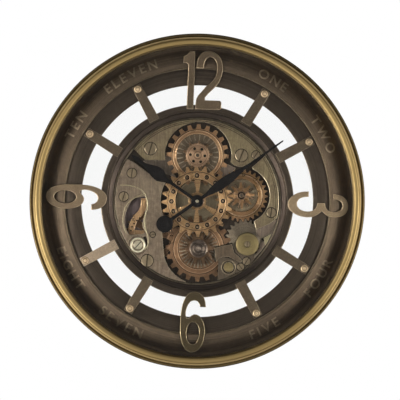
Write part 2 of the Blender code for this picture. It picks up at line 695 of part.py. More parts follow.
def build_base_plate():
    """Cut the plate that carries the wheels, with its raised lands and fixed posts."""
    radius = DRUM_RADIUS - DRUM_WALL - SIDE_GAP
    inside = [
        hole(circle(BUSHING_RADIUS + RUNNING_GAP, segments=BOSS_SEGMENTS)),
        hole(circle(ARBOR_RADIUS + RUNNING_GAP, SIDE_CENTRE, segments=HOLE_SEGMENTS)),
    ]
    for centre in (TOP_CENTRE, RIGHT_CENTRE, BOTTOM_CENTRE):
        inside.append(step(circle(POST_RADIUS, centre, segments=HOLE_SEGMENTS), BASE_BACK, POST_FRONT))
    grey_post = circle(POST_RADIUS, GREY_CENTRE, segments=HOLE_SEGMENTS)
    inside.append(step(grey_post, BASE_BACK, LOW_FRONT))
    ledge = fitted([
        (-88.0, 60.0), (-71.0, 51.6), (-60.0, 48.6), (-52.0, 42.0), (-44.0, 40.0), (-36.0, 60.0),
        (-50.0, 78.0), (-70.0, 74.0), (-86.0, 70.0),
    ])
    inside.append(step(ledge, BASE_BACK, LEDGE_FRONT))
    crescent = fitted([(124.5, -36.0), (119.0, -46.0), (114.5, -54.0), (113.5, -62.0)])
    crescent += arc(PLATE_RADIUS, -31.0, -12.5, 6)
    inside.append(step(crescent, BASE_BACK, COCK_BACK))
    plate = step(circle(radius, segments=DRUM_SEGMENTS), BASE_BACK, BASE_FRONT, inside)
    flat_part("base_plate", plate, "base_dark")


# Plates and bridges over the train

def feet(centres, front=PLATE_FRONT, radius=PLATE_FOOT_RADIUS):
    """Give the short feet under a plate."""
    back = BASE_FRONT + SEAT_GAP
    return [step(circle(radius, spot, segments=HOLE_SEGMENTS), back, front) for spot in fitted(centres)]


def add_plate(name, outline, inside):
    """Cut one of the plates that share the front layer."""
    level = step(outline, PLATE_FRONT - PLATE_SHEET, PLATE_FRONT, inside)
    flat_part(name, level, "plate_bronze")


def build_upper_left_plate():
    """Cut the upper left plate."""
    window = TOP_WHEEL_TIP + WHEEL_WINDOW_GAP
    outline = arc(PLATE_RADIUS, 94.0, 142.6, 10)
    outline += fitted([
        (-101.0, 76.6), (-91.0, 67.1), (-86.6, 64.1), (-81.0, 63.5), (-71.0, 64.7), (-61.0, 64.1),
    ])
    outline += arc(window, 191.0, 97.0, 12, TOP_CENTRE)
    add_plate("plate_upper_left", outline, feet([(-78.5, 82.1), (-95.0, 80.0), (-56.0, 108.0)]))


def build_upper_right_plate():
    """Cut the upper right plate with its rounded nose."""
    window = TOP_WHEEL_TIP + WHEEL_WINDOW_GAP + fit(1.5)
    outline = arc(window, 82.0, -10.0, 12, TOP_CENTRE)
    outline += fitted([
        (57.8, 60.1), (65.0, 58.1), (71.5, 58.5), (79.0, 62.9), (89.0, 69.1), (99.0, 75.1),
    ])
    outline += arc(PLATE_RADIUS, 37.6, 85.5, 10)
    add_plate("plate_upper_right", outline, feet([(68.6, 76.4), (92.1, 78.2), (44.0, 114.0)]))


def build_left_bridge():
    """Cut the large left bridge: crescent opening, sunk pocket, round seat and jewel hole."""
    outline = fitted([
        (-101.0, 57.1), (-91.0, 50.1), (-82.0, 43.5), (-76.0, 39.1), (-71.0, 33.1), (-66.0, 29.7),
    ])
    outline += arc(fit(59.4), 151.5, 205.5, 8)
    outline += fitted([(-54.6, -38.0), (-54.8, -54.0)])
    window = BOTTOM_WHEEL_TIP + WHEEL_WINDOW_GAP + fit(0.9)
    outline += arc(window, 184.0, 250.0, 10, BOTTOM_CENTRE)
    outline += arc(PLATE_RADIUS, -96.0, -209.0, 24)
    crescent = fitted([
        (-85.0, 5.0), (-99.8, 1.6), (-106.0, -3.4), (-111.0, -11.9), (-114.6, -22.0), (-116.0, -32.0),
        (-115.4, -43.4), (-112.0, -51.9), (-106.6, -59.6), (-100.0, -57.6), (-94.0, -56.8),
        (-88.0, -57.0), (-81.6, -53.0), (-86.0, -45.9), (-87.0, -39.9), (-85.4, -30.9),
        (-83.5, -21.9), (-81.6, -13.4), (-81.3, -3.4), (-82.6, 2.0),
    ])
    jewel = circle(ARBOR_RADIUS + RUNNING_GAP, SIDE_CENTRE, segments=HOLE_SEGMENTS)
    back = PLATE_FRONT - PLATE_SHEET
    pocket = arc(SEAT_RADIUS, SEAT_ANGLE + 44.0, SEAT_ANGLE + 316.0, BOSS_SEGMENTS, SEAT_CENTRE)
    pocket.append(polar(PLATE_RADIUS - fit(0.7), SEAT_ANGLE))
    seat = step(pocket, back, PLATE_FRONT - 2.4)
    stud = circle(STUD_RADIUS, SEAT_CENTRE, segments=BOSS_SEGMENTS)
    cup = circle(STUD_CUP_RADIUS, SEAT_CENTRE, segments=BOSS_SEGMENTS)
    seat["inside"] = [step(stud, back, PLATE_FRONT + 0.6, [step(cup, back, PLATE_FRONT - 1.2)])]
    inside = [hole(crescent), hole(jewel), seat]
    inside += feet([(-107.0, 41.6), (-119.5, 3.1), (-48.0, -114.0)])
    add_plate("bridge_left", outline, inside)


def build_right_plate():
    """Cut the right strip beside the right wheel."""
    tip = GREY_MODULE * (RIGHT_WHEEL_TEETH / 2 + ADDENDUM)
    outline = fitted([(86.5, 57.9)])
    outline += arc(tip + WHEEL_WINDOW_GAP + fit(0.6), 68.0, -62.0, 14, RIGHT_CENTRE)
    outline += fitted([(97.0, -42.4), (119.0, -31.9)])
    outline += arc(PLATE_RADIUS, -9.8, 36.0, 10)
    add_plate("plate_right", outline, feet([(120.3, -14.0), (112.0, 57.0)]))


def build_lower_right_cock():
    """Cut the lower right cock with its ringed boss, and the brass disc it carries."""
    outline = fitted([
        (34.0, -78.5), (44.0, -72.0), (59.6, -66.5), (63.5, -74.0), (71.0, -66.0), (76.0, -57.0),
        (84.0, -54.0), (93.0, -58.0), (96.0, -67.0), (94.0, -80.0), (95.6, -90.8),
    ])
    outline += arc(PLATE_RADIUS, -44.5, -73.4, 8)
    outline += fitted([(37.6, -96.0), (35.0, -86.0)])
    front = COCK_BACK + COCK_SHEET
    boss_centre, disc_centre = fitted([(54.5, -104.8), (83.4, -66.5)])
    ring = step(circle(fit(12.2), boss_centre, segments=BOSS_SEGMENTS), COCK_BACK, front + 1.6)
    sink = step(circle(fit(10.2), boss_centre, segments=BOSS_SEGMENTS), COCK_BACK, front + 0.4)
    cup = step(circle(fit(8.4), boss_centre, segments=BOSS_SEGMENTS), COCK_BACK, front + 1.2)
    sink["inside"] = [cup]
    ring["inside"] = [sink]
    inside = [ring] + feet([(74.0, -99.5), (43.5, -119.5)], front, COCK_FOOT_RADIUS)
    flat_part("cock_lower_right", step(outline, COCK_BACK, front, inside), "plate_bronze")
    disc_back = front + SEAT_GAP
    disc = [
        (0.0, disc_back), (18.75, disc_back), (18.75, disc_back + 2.6), (18.0, disc_back + 3.2),
        (5.2, disc_back + 3.2), (4.8, disc_back + 2.6), (0.0, disc_back + 2.6),
    ]
    turned_part("barrel_disc", disc, RELIEF_SEGMENTS, "disc_brass", disc_centre)


# Large wheel train

def running_bore(radius, centre):
    """Give the bore of a wheel that turns on a post."""
    return hole(circle(radius + RUNNING_GAP, centre, segments=HOLE_SEGMENTS))


def sector_window(inner, outer, start, end, centre):
    """Give a wheel window between two radii and two angles."""
    return hole(arc(outer, start, end, 4, centre) + arc(inner, end, start, 2, centre))


def raised_ring(inner, outer, centre, back, floor_front, middle):
    """Give a wheel's raised ring around a sunk floor with its pinion."""
    floor = step(circle(inner, centre, segments=RELIEF_SEGMENTS), back, floor_front, [middle])
    return step(circle(outer, centre, segments=RELIEF_SEGMENTS), back, RELIEF_FRONT, [floor])


def build_lead_wheel():
    """Build the centre wheel, its drilled ring and the sleeve it turns on."""
    outline = gear_outline(LEAD_TEETH, LEAD_MODULE, LEAD_PHASE, LEAD_THINNING)
    hub = step(circle(LEAD_HUB_RADIUS, segments=BOSS_SEGMENTS), HUB_BACK, UPPER_FRONT)
    hub["inside"] = [hole(circle(LEAD_SLEEVE_RADIUS + RUNNING_GAP, segments=BOSS_SEGMENTS))]
    windows = []
    for spoke in range(6):
        middle = 60.0 * spoke
        windows.append(sector_window(14.6, fit(35.0), middle - 22.0, middle + 22.0, (0.0, 0.0)))
    flat_part("centre_wheel", step(outline, UPPER_BACK, UPPER_FRONT, windows + [hub]), "wheel_copper")
    ring_back = UPPER_FRONT + SEAT_GAP
    holes = [hole(circle(fit(35.6), segments=RELIEF_SEGMENTS))]
    for index in range(16):
        spot = polar(fit(42.0), 2.5 + 22.5 * index)
        holes.append(hole(circle(2.9, spot, segments=SMALL_SEGMENTS)))
    ring = step(circle(fit(46.5), segments=RELIEF_SEGMENTS), ring_back, ring_back + DISC_SHEET, holes)
    flat_part("centre_drilled_ring", ring, "wheel_copper")
    sleeve_back = BASE_FRONT + SEAT_GAP
    collar = UPPER_FRONT + SEAT_GAP
    inner = BUSHING_RADIUS + RUNNING_GAP
    sleeve = [
        (inner, sleeve_back), (LEAD_SLEEVE_RADIUS, sleeve_back), (LEAD_SLEEVE_RADIUS, collar),
        (10.5, collar), (10.5, collar + 3.0), (inner, collar + 3.0),
    ]
    turned_part("centre_sleeve_nut", sleeve, BOSS_SEGMENTS, "post_steel")


def build_top_wheel():
    """Build the top wheel with its raised ring and pinion, and the six-hole disc on it."""
    phase = follower_phase(TOP_ANGLE, LEAD_PHASE, LEAD_TEETH, TOP_PINION_TEETH)
    teeth = show_tooth_outline(TOP_WHEEL_TEETH, TOP_WHEEL_TIP, TOP_WHEEL_ROOT, 0.0, TOP_CENTRE)
    pinion = gear_outline(TOP_PINION_TEETH, LEAD_MODULE, phase, LEAD_THINNING, TOP_CENTRE)
    hub = step(circle(6.0, TOP_CENTRE, segments=HOLE_SEGMENTS), HUB_BACK, UPPER_FRONT)
    hub["inside"] = [running_bore(POST_RADIUS, TOP_CENTRE)]
    pinion_level = step(pinion, MIDDLE_BACK, UPPER_FRONT, [hub])
    ring = raised_ring(fit(34.6), fit(41.0), TOP_CENTRE, MIDDLE_BACK, MIDDLE_FRONT, pinion_level)
    level = step(teeth, MIDDLE_BACK, MIDDLE_FRONT, [ring])
    flat_part("top_wheel", level, "wheel_copper", TOP_CENTRE)
    disc_back = UPPER_FRONT + SEAT_GAP
    outline = []
    for index in range(52):
        outline.append(polar(fit(19.9 - 1.5 * (index % 2)), 360.0 / 52 * index, TOP_CENTRE))
    holes = [running_bore(POST_RADIUS, TOP_CENTRE)]
    for index in range(6):
        place = polar(fit(11.7), 60.0 * index - 3.0, TOP_CENTRE)
        holes.append(hole(circle(1.9, place, segments=SMALL_SEGMENTS)))
    disc = step(outline, disc_back, disc_back + DISC_SHEET, holes)
    flat_part("top_six_hole_disc", disc, "wheel_copper", TOP_CENTRE)


def build_right_wheel():
    """Build the right wheel with its raised ring, and the grey wheel it drives."""
    phase = follower_phase(RIGHT_ANGLE, LEAD_PHASE, LEAD_TEETH, RIGHT_PINION_TEETH)
    teeth = gear_outline(RIGHT_WHEEL_TEETH, GREY_MODULE, 0.0, LOW_THINNING, RIGHT_CENTRE)
    pinion = gear_outline(RIGHT_PINION_TEETH, LEAD_MODULE, phase, LEAD_THINNING, RIGHT_CENTRE)
    pinion_level = step(pinion, LOW_BACK, UPPER_FRONT, [running_bore(POST_RADIUS, RIGHT_CENTRE)])
    ring = raised_ring(fit(26.0), fit(34.6), RIGHT_CENTRE, LOW_BACK, LOW_FRONT + 0.4, pinion_level)
    level = step(teeth, LOW_BACK, MIDDLE_FRONT - 0.4, [ring])
    flat_part("right_wheel", level, "wheel_copper", RIGHT_CENTRE)
    grey_phase = follower_phase(GREY_LINE, 0.0, RIGHT_WHEEL_TEETH, GREY_TEETH)
    grey = gear_outline(GREY_TEETH, GREY_MODULE, grey_phase, LOW_THINNING, GREY_CENTRE)
    level = step(grey, LOW_BACK, LOW_FRONT, [running_bore(POST_RADIUS, GREY_CENTRE)])
    flat_part("grey_wheel", level, "wheel_steel", GREY_CENTRE)


def build_bottom_wheel():
    """Build the bottom wheel with its pinion in front, low gear behind and cap."""
    phase = follower_phase(BOTTOM_ANGLE, LEAD_PHASE, LEAD_TEETH, BOTTOM_PINION_TEETH)
    tip, root = BOTTOM_WHEEL_TIP, BOTTOM_WHEEL_ROOT
    teeth = show_tooth_outline(BOTTOM_WHEEL_TEETH, tip, root, 0.0, BOTTOM_CENTRE)
    low = gear_outline(BOTTOM_LOW_TEETH, SIDE_MODULE, 0.0, LOW_THINNING, BOTTOM_CENTRE)
    pinion = gear_outline(BOTTOM_PINION_TEETH, LEAD_MODULE, phase, LEAD_THINNING, BOTTOM_CENTRE)
    pinion_level = step(pinion, LOW_BACK, UPPER_FRONT, [running_bore(POST_RADIUS, BOTTOM_CENTRE)])
    floor = step(circle(fit(30.4), BOTTOM_CENTRE, segments=RELIEF_SEGMENTS), LOW_BACK, MIDDLE_FRONT)
    floor["inside"] = [pinion_level]
    low_level = step(low, LOW_BACK, RELIEF_FRONT, [floor])
    raised = circle(fit(41.0), BOTTOM_CENTRE, segments=RELIEF_SEGMENTS)
    ring = step(raised, MIDDLE_BACK, RELIEF_FRONT, [low_level])
    level = step(teeth, MIDDLE_BACK, MIDDLE_FRONT, [ring])
    flat_part("bottom_wheel", level, "wheel_copper", BOTTOM_CENTRE)
    cap_back = UPPER_FRONT + SEAT_GAP
    sink = POST_FRONT + SEAT_GAP
    cap = [
        (POST_RADIUS + RUNNING_GAP, cap_back), (14.6, cap_back), (14.6, cap_back + 2.6),
        (13.4, cap_back + 3.6), (0.0, cap_back + 3.6), (0.0, sink), (POST_RADIUS + RUNNING_GAP, sink),
    ]
    turned_part("bottom_cap", cap, RELIEF_SEGMENTS, "cap_dark", BOTTOM_CENTRE)


def build_side_wheel():
    """Build the side wheel behind the left bridge on the motor arbor."""
    phase = follower_phase(SIDE_LINE, 0.0, BOTTOM_LOW_TEETH, SIDE_TEETH)
    outline = gear_outline(SIDE_TEETH, SIDE_MODULE, phase, LOW_THINNING, SIDE_CENTRE)
    windows = []
    for arm in range(5):
        start = 72.0 * arm + 12.0
        windows.append(sector_window(14.0, fit(30.0), start, start + 48.0, SIDE_CENTRE))
    arbor = circle(ARBOR_RADIUS, SIDE_CENTRE, segments=HOLE_SEGMENTS)
    windows.append(step(arbor, 10.0, PLATE_FRONT - 0.6))
    flat_part("side_wheel", step(outline, LOW_BACK, LOW_FRONT, windows), "wheel_copper", SIDE_CENTRE)


# Time movement behind the base plate

def build_movement_case():
    """Make the movement tray with its bushing, and its back with knob and cell openings."""
    half = MOVEMENT_HALF
    inner = half - MOVEMENT_WALL
    floor = MOVEMENT_FRONT - MOVEMENT_WALL
    bushing = step(circle(BUSHING_RADIUS, segments=BOSS_SEGMENTS), floor, BUSHING_FRONT)
    bushing["inside"] = [hole(circle(BUSHING_BORE, segments=BOSS_SEGMENTS))]
    pocket = step(rectangle(-inner, inner, -inner, inner), floor, MOVEMENT_FRONT, [bushing])
    tray_back = MOVEMENT_BACK + MOVEMENT_WALL + SEAT_GAP
    tray = step(rectangle(-half, half, -half, half), tray_back, MOVEMENT_FRONT, [pocket])
    flat_part("movement_case", tray, "case_plastic")
    reach = CELL_RADIUS + 0.6
    stem = circle(3.4, (0.0, -WORK_OFFSET), segments=HOLE_SEGMENTS)
    cell_half = CELL_LENGTH / 2 + 1.0
    cell = rectangle(-cell_half, cell_half, TIME_CELL_HEIGHT - reach, TIME_CELL_HEIGHT + reach)
    back = step(rectangle(-half, half, -half, half), MOVEMENT_BACK, MOVEMENT_BACK + MOVEMENT_WALL)
    back["inside"] = [hole(stem), hole(cell)]
    flat_part("movement_back", back, "case_plastic")


def build_motion_work():
    """Build the 12 to 1 work: minute arbor, minute wheel, hour tube and setting knob."""
    arbor_front = step(circle(MINUTE_ARBOR_RADIUS, segments=HOLE_SEGMENTS), 5.0, MINUTE_ARBOR_FRONT)
    cannon = gear_outline(CANNON_TEETH, CANNON_MODULE, 90.0, WORK_THINNING)
    flat_part("minute_arbor", step(cannon, 9.5, 12.5, [arbor_front]), "post_steel")
    axis = (0.0, -WORK_OFFSET)
    wheel_phase = follower_phase(270.0, 90.0, CANNON_TEETH, MINUTE_WHEEL_TEETH)
    wheel = gear_outline(MINUTE_WHEEL_TEETH, CANNON_MODULE, wheel_phase, WORK_THINNING, axis)
    pinion = gear_outline(MINUTE_PINION_TEETH, HOUR_MODULE, 90.0, WORK_THINNING, axis)
    pin_front = MOVEMENT_FRONT - MOVEMENT_WALL - SEAT_GAP
    pin = step(circle(WORK_ARBOR_RADIUS, axis, segments=HOLE_SEGMENTS), 4.6, pin_front)
    wheel_level = step(wheel, 9.9, 12.1, [step(pinion, 9.9, 15.4, [pin])])
    flat_part("minute_wheel", wheel_level, "gear_plastic", axis)
    hour_phase = follower_phase(90.0, 90.0, MINUTE_PINION_TEETH, HOUR_WHEEL_TEETH)
    hour = gear_outline(HOUR_WHEEL_TEETH, HOUR_MODULE, hour_phase, WORK_THINNING)
    tube = step(circle(HOUR_TUBE_RADIUS, segments=BOSS_SEGMENTS), 13.4, HOUR_TUBE_FRONT)
    tube["inside"] = [hole(circle(HOUR_TUBE_BORE, segments=BOSS_SEGMENTS))]
    flat_part("hour_tube_wheel", step(hour, 13.4, 14.9, [tube]), "gear_plastic")
    knob = [
        (0.0, 0.6), (KNOB_RADIUS, 0.6), (KNOB_RADIUS, 2.1), (2.6, 2.1), (2.6, 8.6),
        (WORK_ARBOR_RADIUS + SEAT_GAP, 8.6), (WORK_ARBOR_RADIUS + SEAT_GAP, 4.3), (0.0, 4.3),
    ]
    turned_part("set_knob", knob, HOLE_SEGMENTS, "gear_plastic", axis)


def build_cell(name, centre):
    """Make one cell with its contact nub, lying along X."""
    half = CELL_LENGTH / 2
    profile = [
        (0.0, -half), (CELL_RADIUS, -half), (CELL_RADIUS, half - 1.5), (2.6, half - 1.5),
        (2.6, half), (0.0, half),
    ]
    turned_part(name, profile, HOLE_SEGMENTS, "cell_wrap", centre, along_x=True)


def build_drives():
    """Make both cells, the holder of the gear cell and the gear motor."""
    build_cell("time_cell", (0.0, TIME_CELL_HEIGHT))
    build_cell("gear_cell", GEAR_CELL_CENTRE)
    x, z = GEAR_CELL_CENTRE
    long_half = CELL_LENGTH / 2 + 0.6
    reach = CELL_RADIUS + 0.6
    front = BASE_BACK - SEAT_GAP
    floor = CELL_AXIS_DEPTH + CELL_RADIUS + 0.4
    pocket = step(rectangle(x - long_half, x + long_half, z - reach, z + reach), floor, front)
    wall = HOLDER_WALL
    outer_x, outer_z = long_half + wall, reach + wall
    frame = rectangle(x - outer_x, x + outer_x, z - outer_z, z + outer_z)
    flat_part("cell_holder", step(frame, COVER_SHEET + SEAT_GAP, front, [pocket]), "case_plastic")
    socket = ARBOR_RADIUS + RUNNING_GAP
    motor = [
        (0.0, 3.0), (MOTOR_RADIUS, 3.0), (MOTOR_RADIUS, front), (socket, front), (socket, 9.6), (0.0, 9.6),
    ]
    turned_part("gear_motor", motor, RELIEF_SEGMENTS, "case_plastic", SIDE_CENTRE)


# Hands

HOUR_HAND_OUTLINE = [
    (2.6, 8.6), (2.6, 58.0), (3.6, 64.0), (8.6, 70.0), (10.4, 77.0), (9.0, 86.0), (5.4, 95.0),
    (2.6, 103.0), (2.4, 109.0), (3.8, 117.0), (2.6, 124.0), (0.5, 130.0), (-0.5, 130.0),
    (-2.6, 124.0), (-3.8, 117.0), (-2.4, 109.0), (-2.6, 103.0), (-5.4, 95.0), (-9.0, 86.0),
    (-10.4, 77.0), (-8.6, 70.0), (-3.6, 64.0), (-2.6, 58.0), (-2.6, 8.6),
]

MINUTE_BLADE_OUTLINE = [
    (2.7, 8.7), (3.2, 20.0), (6.2, 32.0), (7.9, 50.0), (7.0, 66.0), (4.2, 82.0), (2.3, 96.0),
    (1.9, 130.0), (1.2, 168.0), (0.0, 170.0), (-1.2, 168.0), (-1.9, 130.0), (-2.3, 96.0),
    (-4.2, 82.0), (-7.0, 66.0), (-7.9, 50.0), (-6.2, 32.0), (-3.2, 20.0), (-2.7, 8.7),
]

HAND_HUB_RADIUS = 9.1
TAIL_DISC_RADIUS = 13.5
TAIL_DISC_CENTRE = 64.0
TAIL_HALF_WIDTH = 2.7


def build_hands():
    """Cut the hour and minute hands at the time shown and add the centre cap."""
    hour = HOUR_HAND_OUTLINE + arc(HAND_HUB_RADIUS, 106.6, 433.4, 14)
    bore_hour = hole(circle(HOUR_TUBE_RADIUS + RUNNING_GAP, segments=BOSS_SEGMENTS))
    hour_front = HOUR_HAND_BACK + HAND_SHEET
    level = step(turned_about(hour, HOUR_HAND_ANGLE), HOUR_HAND_BACK, hour_front, [bore_hour])
    flat_part("hour_hand", level, "hand_black")
    neck = math.degrees(math.asin(TAIL_HALF_WIDTH / HAND_HUB_RADIUS))
    tail_neck = math.degrees(math.asin(TAIL_HALF_WIDTH / TAIL_DISC_RADIUS))
    minute = MINUTE_BLADE_OUTLINE + arc(HAND_HUB_RADIUS, 107.3, 270.0 - neck, 7)
    minute += arc(TAIL_DISC_RADIUS, 90.0 + tail_neck, 450.0 - tail_neck, 18, (0.0, -TAIL_DISC_CENTRE))
    minute += arc(HAND_HUB_RADIUS, -90.0 + neck, 72.7, 7)
    minute_front = MINUTE_HAND_BACK + HAND_SHEET
    bore_minute = hole(circle(MINUTE_ARBOR_RADIUS + RUNNING_GAP, segments=HOLE_SEGMENTS))
    level = step(turned_about(minute, MINUTE_HAND_ANGLE), MINUTE_HAND_BACK, minute_front, [bore_minute])
    flat_part("minute_hand", level, "hand_black")
    cap_back = minute_front + SEAT_GAP
    socket = MINUTE_ARBOR_RADIUS + RUNNING_GAP
    sink = MINUTE_ARBOR_FRONT + SEAT_GAP
    cap = [
        (socket, cap_back), (CAP_RADIUS, cap_back), (CAP_RADIUS, cap_back + 2.2),
        (CAP_RADIUS * 0.6, cap_back + 3.3), (0.0, cap_back + 3.7), (0.0, sink), (socket, sink),
    ]
    turned_part("hand_cap", cap, HOLE_SEGMENTS, "post_steel")


def main():
    """Build every part of the clock."""
    clear_scene()
    build_rim()
    build_glass()
    build_dish()
    build_inner_ring()
    build_hanger()
    build_numerals()
    build_spokes()
    build_drum()
    build_base_plate()
    build_upper_left_plate()
    build_upper_right_plate()
    build_left_bridge()
    build_right_plate()
    build_lower_right_cock()
    build_lead_wheel()
    build_top_wheel()
    build_right_wheel()
    build_bottom_wheel()
    build_side_wheel()
    build_movement_case()
    build_motion_work()
    build_drives()
    build_hands()


main()
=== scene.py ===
"""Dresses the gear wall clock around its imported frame.

The hand axis is the world Y axis, the wall is the plane y = 0 and the front faces -Y.
Sizes are millimetres, and a depth is a distance from the wall towards the viewer.
"""
import logging
import math
from collections.abc import Callable, Iterable, Sequence
from dataclasses import dataclass, replace
from enum import Enum

import bmesh
import bpy
from mathutils import Matrix, Vector


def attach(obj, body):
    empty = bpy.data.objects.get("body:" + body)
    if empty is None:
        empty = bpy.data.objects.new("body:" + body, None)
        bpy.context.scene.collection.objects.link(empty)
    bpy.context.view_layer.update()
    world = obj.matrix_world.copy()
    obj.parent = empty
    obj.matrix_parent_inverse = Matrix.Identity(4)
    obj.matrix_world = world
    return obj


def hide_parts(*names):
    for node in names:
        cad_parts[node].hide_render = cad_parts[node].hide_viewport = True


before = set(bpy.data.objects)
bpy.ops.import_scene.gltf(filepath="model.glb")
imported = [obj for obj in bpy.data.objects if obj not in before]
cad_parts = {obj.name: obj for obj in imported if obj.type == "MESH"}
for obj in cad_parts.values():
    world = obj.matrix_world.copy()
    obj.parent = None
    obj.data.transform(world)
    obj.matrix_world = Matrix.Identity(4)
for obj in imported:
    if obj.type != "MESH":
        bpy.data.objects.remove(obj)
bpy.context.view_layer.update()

LOG = logging.getLogger("gear_wall_clock")

Point = tuple[float, float]
Colour = tuple[float, float, float]
Loop = list[Point]
Point3 = tuple[float, float, float]
Mesh = bpy.types.Mesh
Material = bpy.types.Material
Piece = bpy.types.Object
Node = bpy.types.Node
Socket = bpy.types.NodeSocket
Tree = bpy.types.NodeTree
Sockets = dict[str, Socket]

MM = 0.001
CASE = "clock_case"
WEAR = "edge_wear"
VECTOR, FLOAT, COLOUR = "NodeSocketVector", "NodeSocketFloat", "NodeSocketColor"
COUNT, MATERIAL, SHAPE = "NodeSocketInt", "NodeSocketMaterial", "NodeSocketObject"
GEOMETRY = "NodeSocketGeometry"
SAME_SPOT = 1e-6
FLAT_SLOPE = 0.985
FILLET_SHARE = 0.42
TURNED_CREASE = 40.0
FLAT_TURN, BEVELLED_TURN = 0.4, 34.0
MIX_COLOUR_INPUTS, MIX_COLOUR_OUTPUT = (0, 6, 7), 2
# Tone of the painted shade that darkens deep places towards the wall.
GRIME_TONE = (0.012, 0.009, 0.007, 1.0)
# Tone of the painted shade on upright sides and slot floors.
SIDE_DIRT_TONE = (0.008, 0.006, 0.005, 1.0)


class Grain(Enum):
    """How a surface was worked."""

    TURNED = "turned"
    BRUSHED = "brushed"
    CAST = "cast"
    MOULDED = "moulded"


class TopsFacing(Enum):
    """Which way the heads of a word's letters point."""

    OUTWARD = 1
    INWARD = -1


# Placing and outlines


def place(x: float, depth: float, z: float) -> Vector:
    """Give a point in metres from millimetres across, out from the wall, and up."""
    return Vector((x, -depth, z)) * MM


def polar(radius: float, clock_degrees: float, centre: Point = (0.0, 0.0)) -> Point:
    """Give the point at a radius, clockwise from the top as seen from the front."""
    turn = math.radians(clock_degrees)
    return (centre[0] + radius * math.sin(turn), centre[1] + radius * math.cos(turn))


def circle(radius: float, centre: Point = (0.0, 0.0), count: int = 96) -> Loop:
    """Give a round outline."""
    return [polar(radius, -360.0 * index / count, centre) for index in range(count)]


def turn_at(before: Point, here: Point, after: Point) -> float:
    """Give how sharply an outline turns at a point, in degrees.

    Args:
        before: the point before.
        here: the point itself.
        after: the point after.

    Returns:
        The angle between the two sides, or 0 where points coincide.
    """
    first = Vector((here[0] - before[0], here[1] - before[1]))
    second = Vector((after[0] - here[0], after[1] - here[1]))
    if first.length < 1e-9 or second.length < 1e-9:
        return 0.0
    return math.degrees(first.angle(second))


def on_curve(start: Vector, leave: Vector, end: Vector, arrive: Vector, share: float) -> Point:
    """Give a point of a smooth curve between two points.

    Args:
        start: the first point.
        leave: the direction and speed there.
        end: the second point.
        arrive: the direction and speed there.
        share: how far along the curve, from 0 to 1.

    Returns:
        The point.
    """
    square, cube = share**2, share**3
    spot = start * (2 * cube - 3 * square + 1) + leave * (cube - 2 * square + share)
    spot += end * (3 * square - 2 * cube) + arrive * (cube - square)
    return (spot.x, spot.y)


def filleted(points: Sequence[Point], radius: float, parts: int = 3, sharp: float = 24.0) -> Loop:
    """Round the sharp corners of a closed outline.

    Args:
        points: the outline's corners in order.
        radius: how far along each side the rounding reaches.
        parts: straight pieces in one rounding.
        sharp: the least turn in degrees that is rounded.

    Returns:
        The outline with its roundings.
    """
    result: Loop = []
    for index, here in enumerate(points):
        before, after = points[index - 1], points[(index + 1) % len(points)]
        if turn_at(before, here, after) < sharp or here[0] < SAME_SPOT:
            result.append(here)
            continue
        corner = Vector(here)
        back, on = Vector(before) - corner, Vector(after) - corner
        start = corner + back.normalized() * min(radius, back.length * FILLET_SHARE)
        end = corner + on.normalized() * min(radius, on.length * FILLET_SHARE)
        for part in range(parts + 1):
            share = part / parts
            spot = start * (1 - share) ** 2 + corner * 2 * share * (1 - share) + end * share**2
            result.append((spot.x, spot.y))
    return result


def smoothed(points: Sequence[Point], parts: int = 4, corner: float = 36.0) -> Loop:
    """Run a smooth curve through a closed outline and keep its real corners.

    Args:
        points: the outline in order.
        parts: curve pieces laid along each side.
        corner: the least turn in degrees that stays a corner.

    Returns:
        The finer outline.
    """
    count = len(points)
    kept = [
        turn_at(points[index - 1], points[index], points[(index + 1) % count]) >= corner
        for index in range(count)
    ]
    result: Loop = []
    for index in range(count):
        spots = [Vector(points[(index + offset) % count]) for offset in (-1, 0, 1, 2)]
        span = spots[2] - spots[1]
        leave = span if kept[index] else (spots[2] - spots[0]).normalized() * span.length
        arrive = span if kept[(index + 1) % count] else (spots[3] - spots[1]).normalized() * span.length
        if kept[index] and kept[(index + 1) % count]:
            result.append(points[index])
            continue
        result += [on_curve(spots[1], leave, spots[2], arrive, part / parts) for part in range(parts)]
    return result


def eased(line: Sequence[Point], parts: int = 5) -> Loop:
    """Run a smooth open curve through the points of a line.

    Args:
        line: the points in order.
        parts: curve pieces between two points.

    Returns:
        The finer line.
    """
    ends = [line[0], *line, line[-1]]
    result: Loop = []
    for spots in zip(ends, ends[1:], ends[2:], ends[3:]):
        before, start, end, after = (Vector(spot) for spot in spots)
        leave, arrive = (end - before) * 0.5, (after - start) * 0.5
        result += [on_curve(start, leave, end, arrive, part / parts) for part in range(parts)]
    return [*result, line[-1]]


def ribbon(line: Sequence[Point], half_width: float) -> Loop:
    """Give the closed outline of a strip that follows a line.

    Args:
        line: the line in its middle.
        half_width: from the line to each side.

    Returns:
        The outline, up one side and back along the other.
    """
    left: Loop = []
    right: Loop = []
    for index, here in enumerate(line):
        before, after = line[max(index - 1, 0)], line[min(index + 1, len(line) - 1)]
        along = Vector((after[0] - before[0], after[1] - before[1])).normalized() * half_width
        left.append((here[0] - along.y, here[1] + along.x))
        right.append((here[0] + along.y, here[1] - along.x))
    return left + right[::-1]


def widened(point: Point, loop: Sequence[Point], by: float) -> Point:
    """Move a point of an outline away from the outline's middle.

    Args:
        point: the point to move.
        loop: the outline that it belongs to.
        by: how far it moves.

    Returns:
        The moved point.
    """
    middle = (sum(x for x, _ in loop) / len(loop), sum(z for _, z in loop) / len(loop))
    aside = Vector((point[0] - middle[0], point[1] - middle[1])).normalized() * by
    return (point[0] + aside.x, point[1] + aside.y)


def spread(loop: Loop) -> float:
    """Give how far an outline reaches, to tell it from its holes."""
    across, upward = zip(*loop)
    return max(across) - min(across) + max(upward) - min(upward)


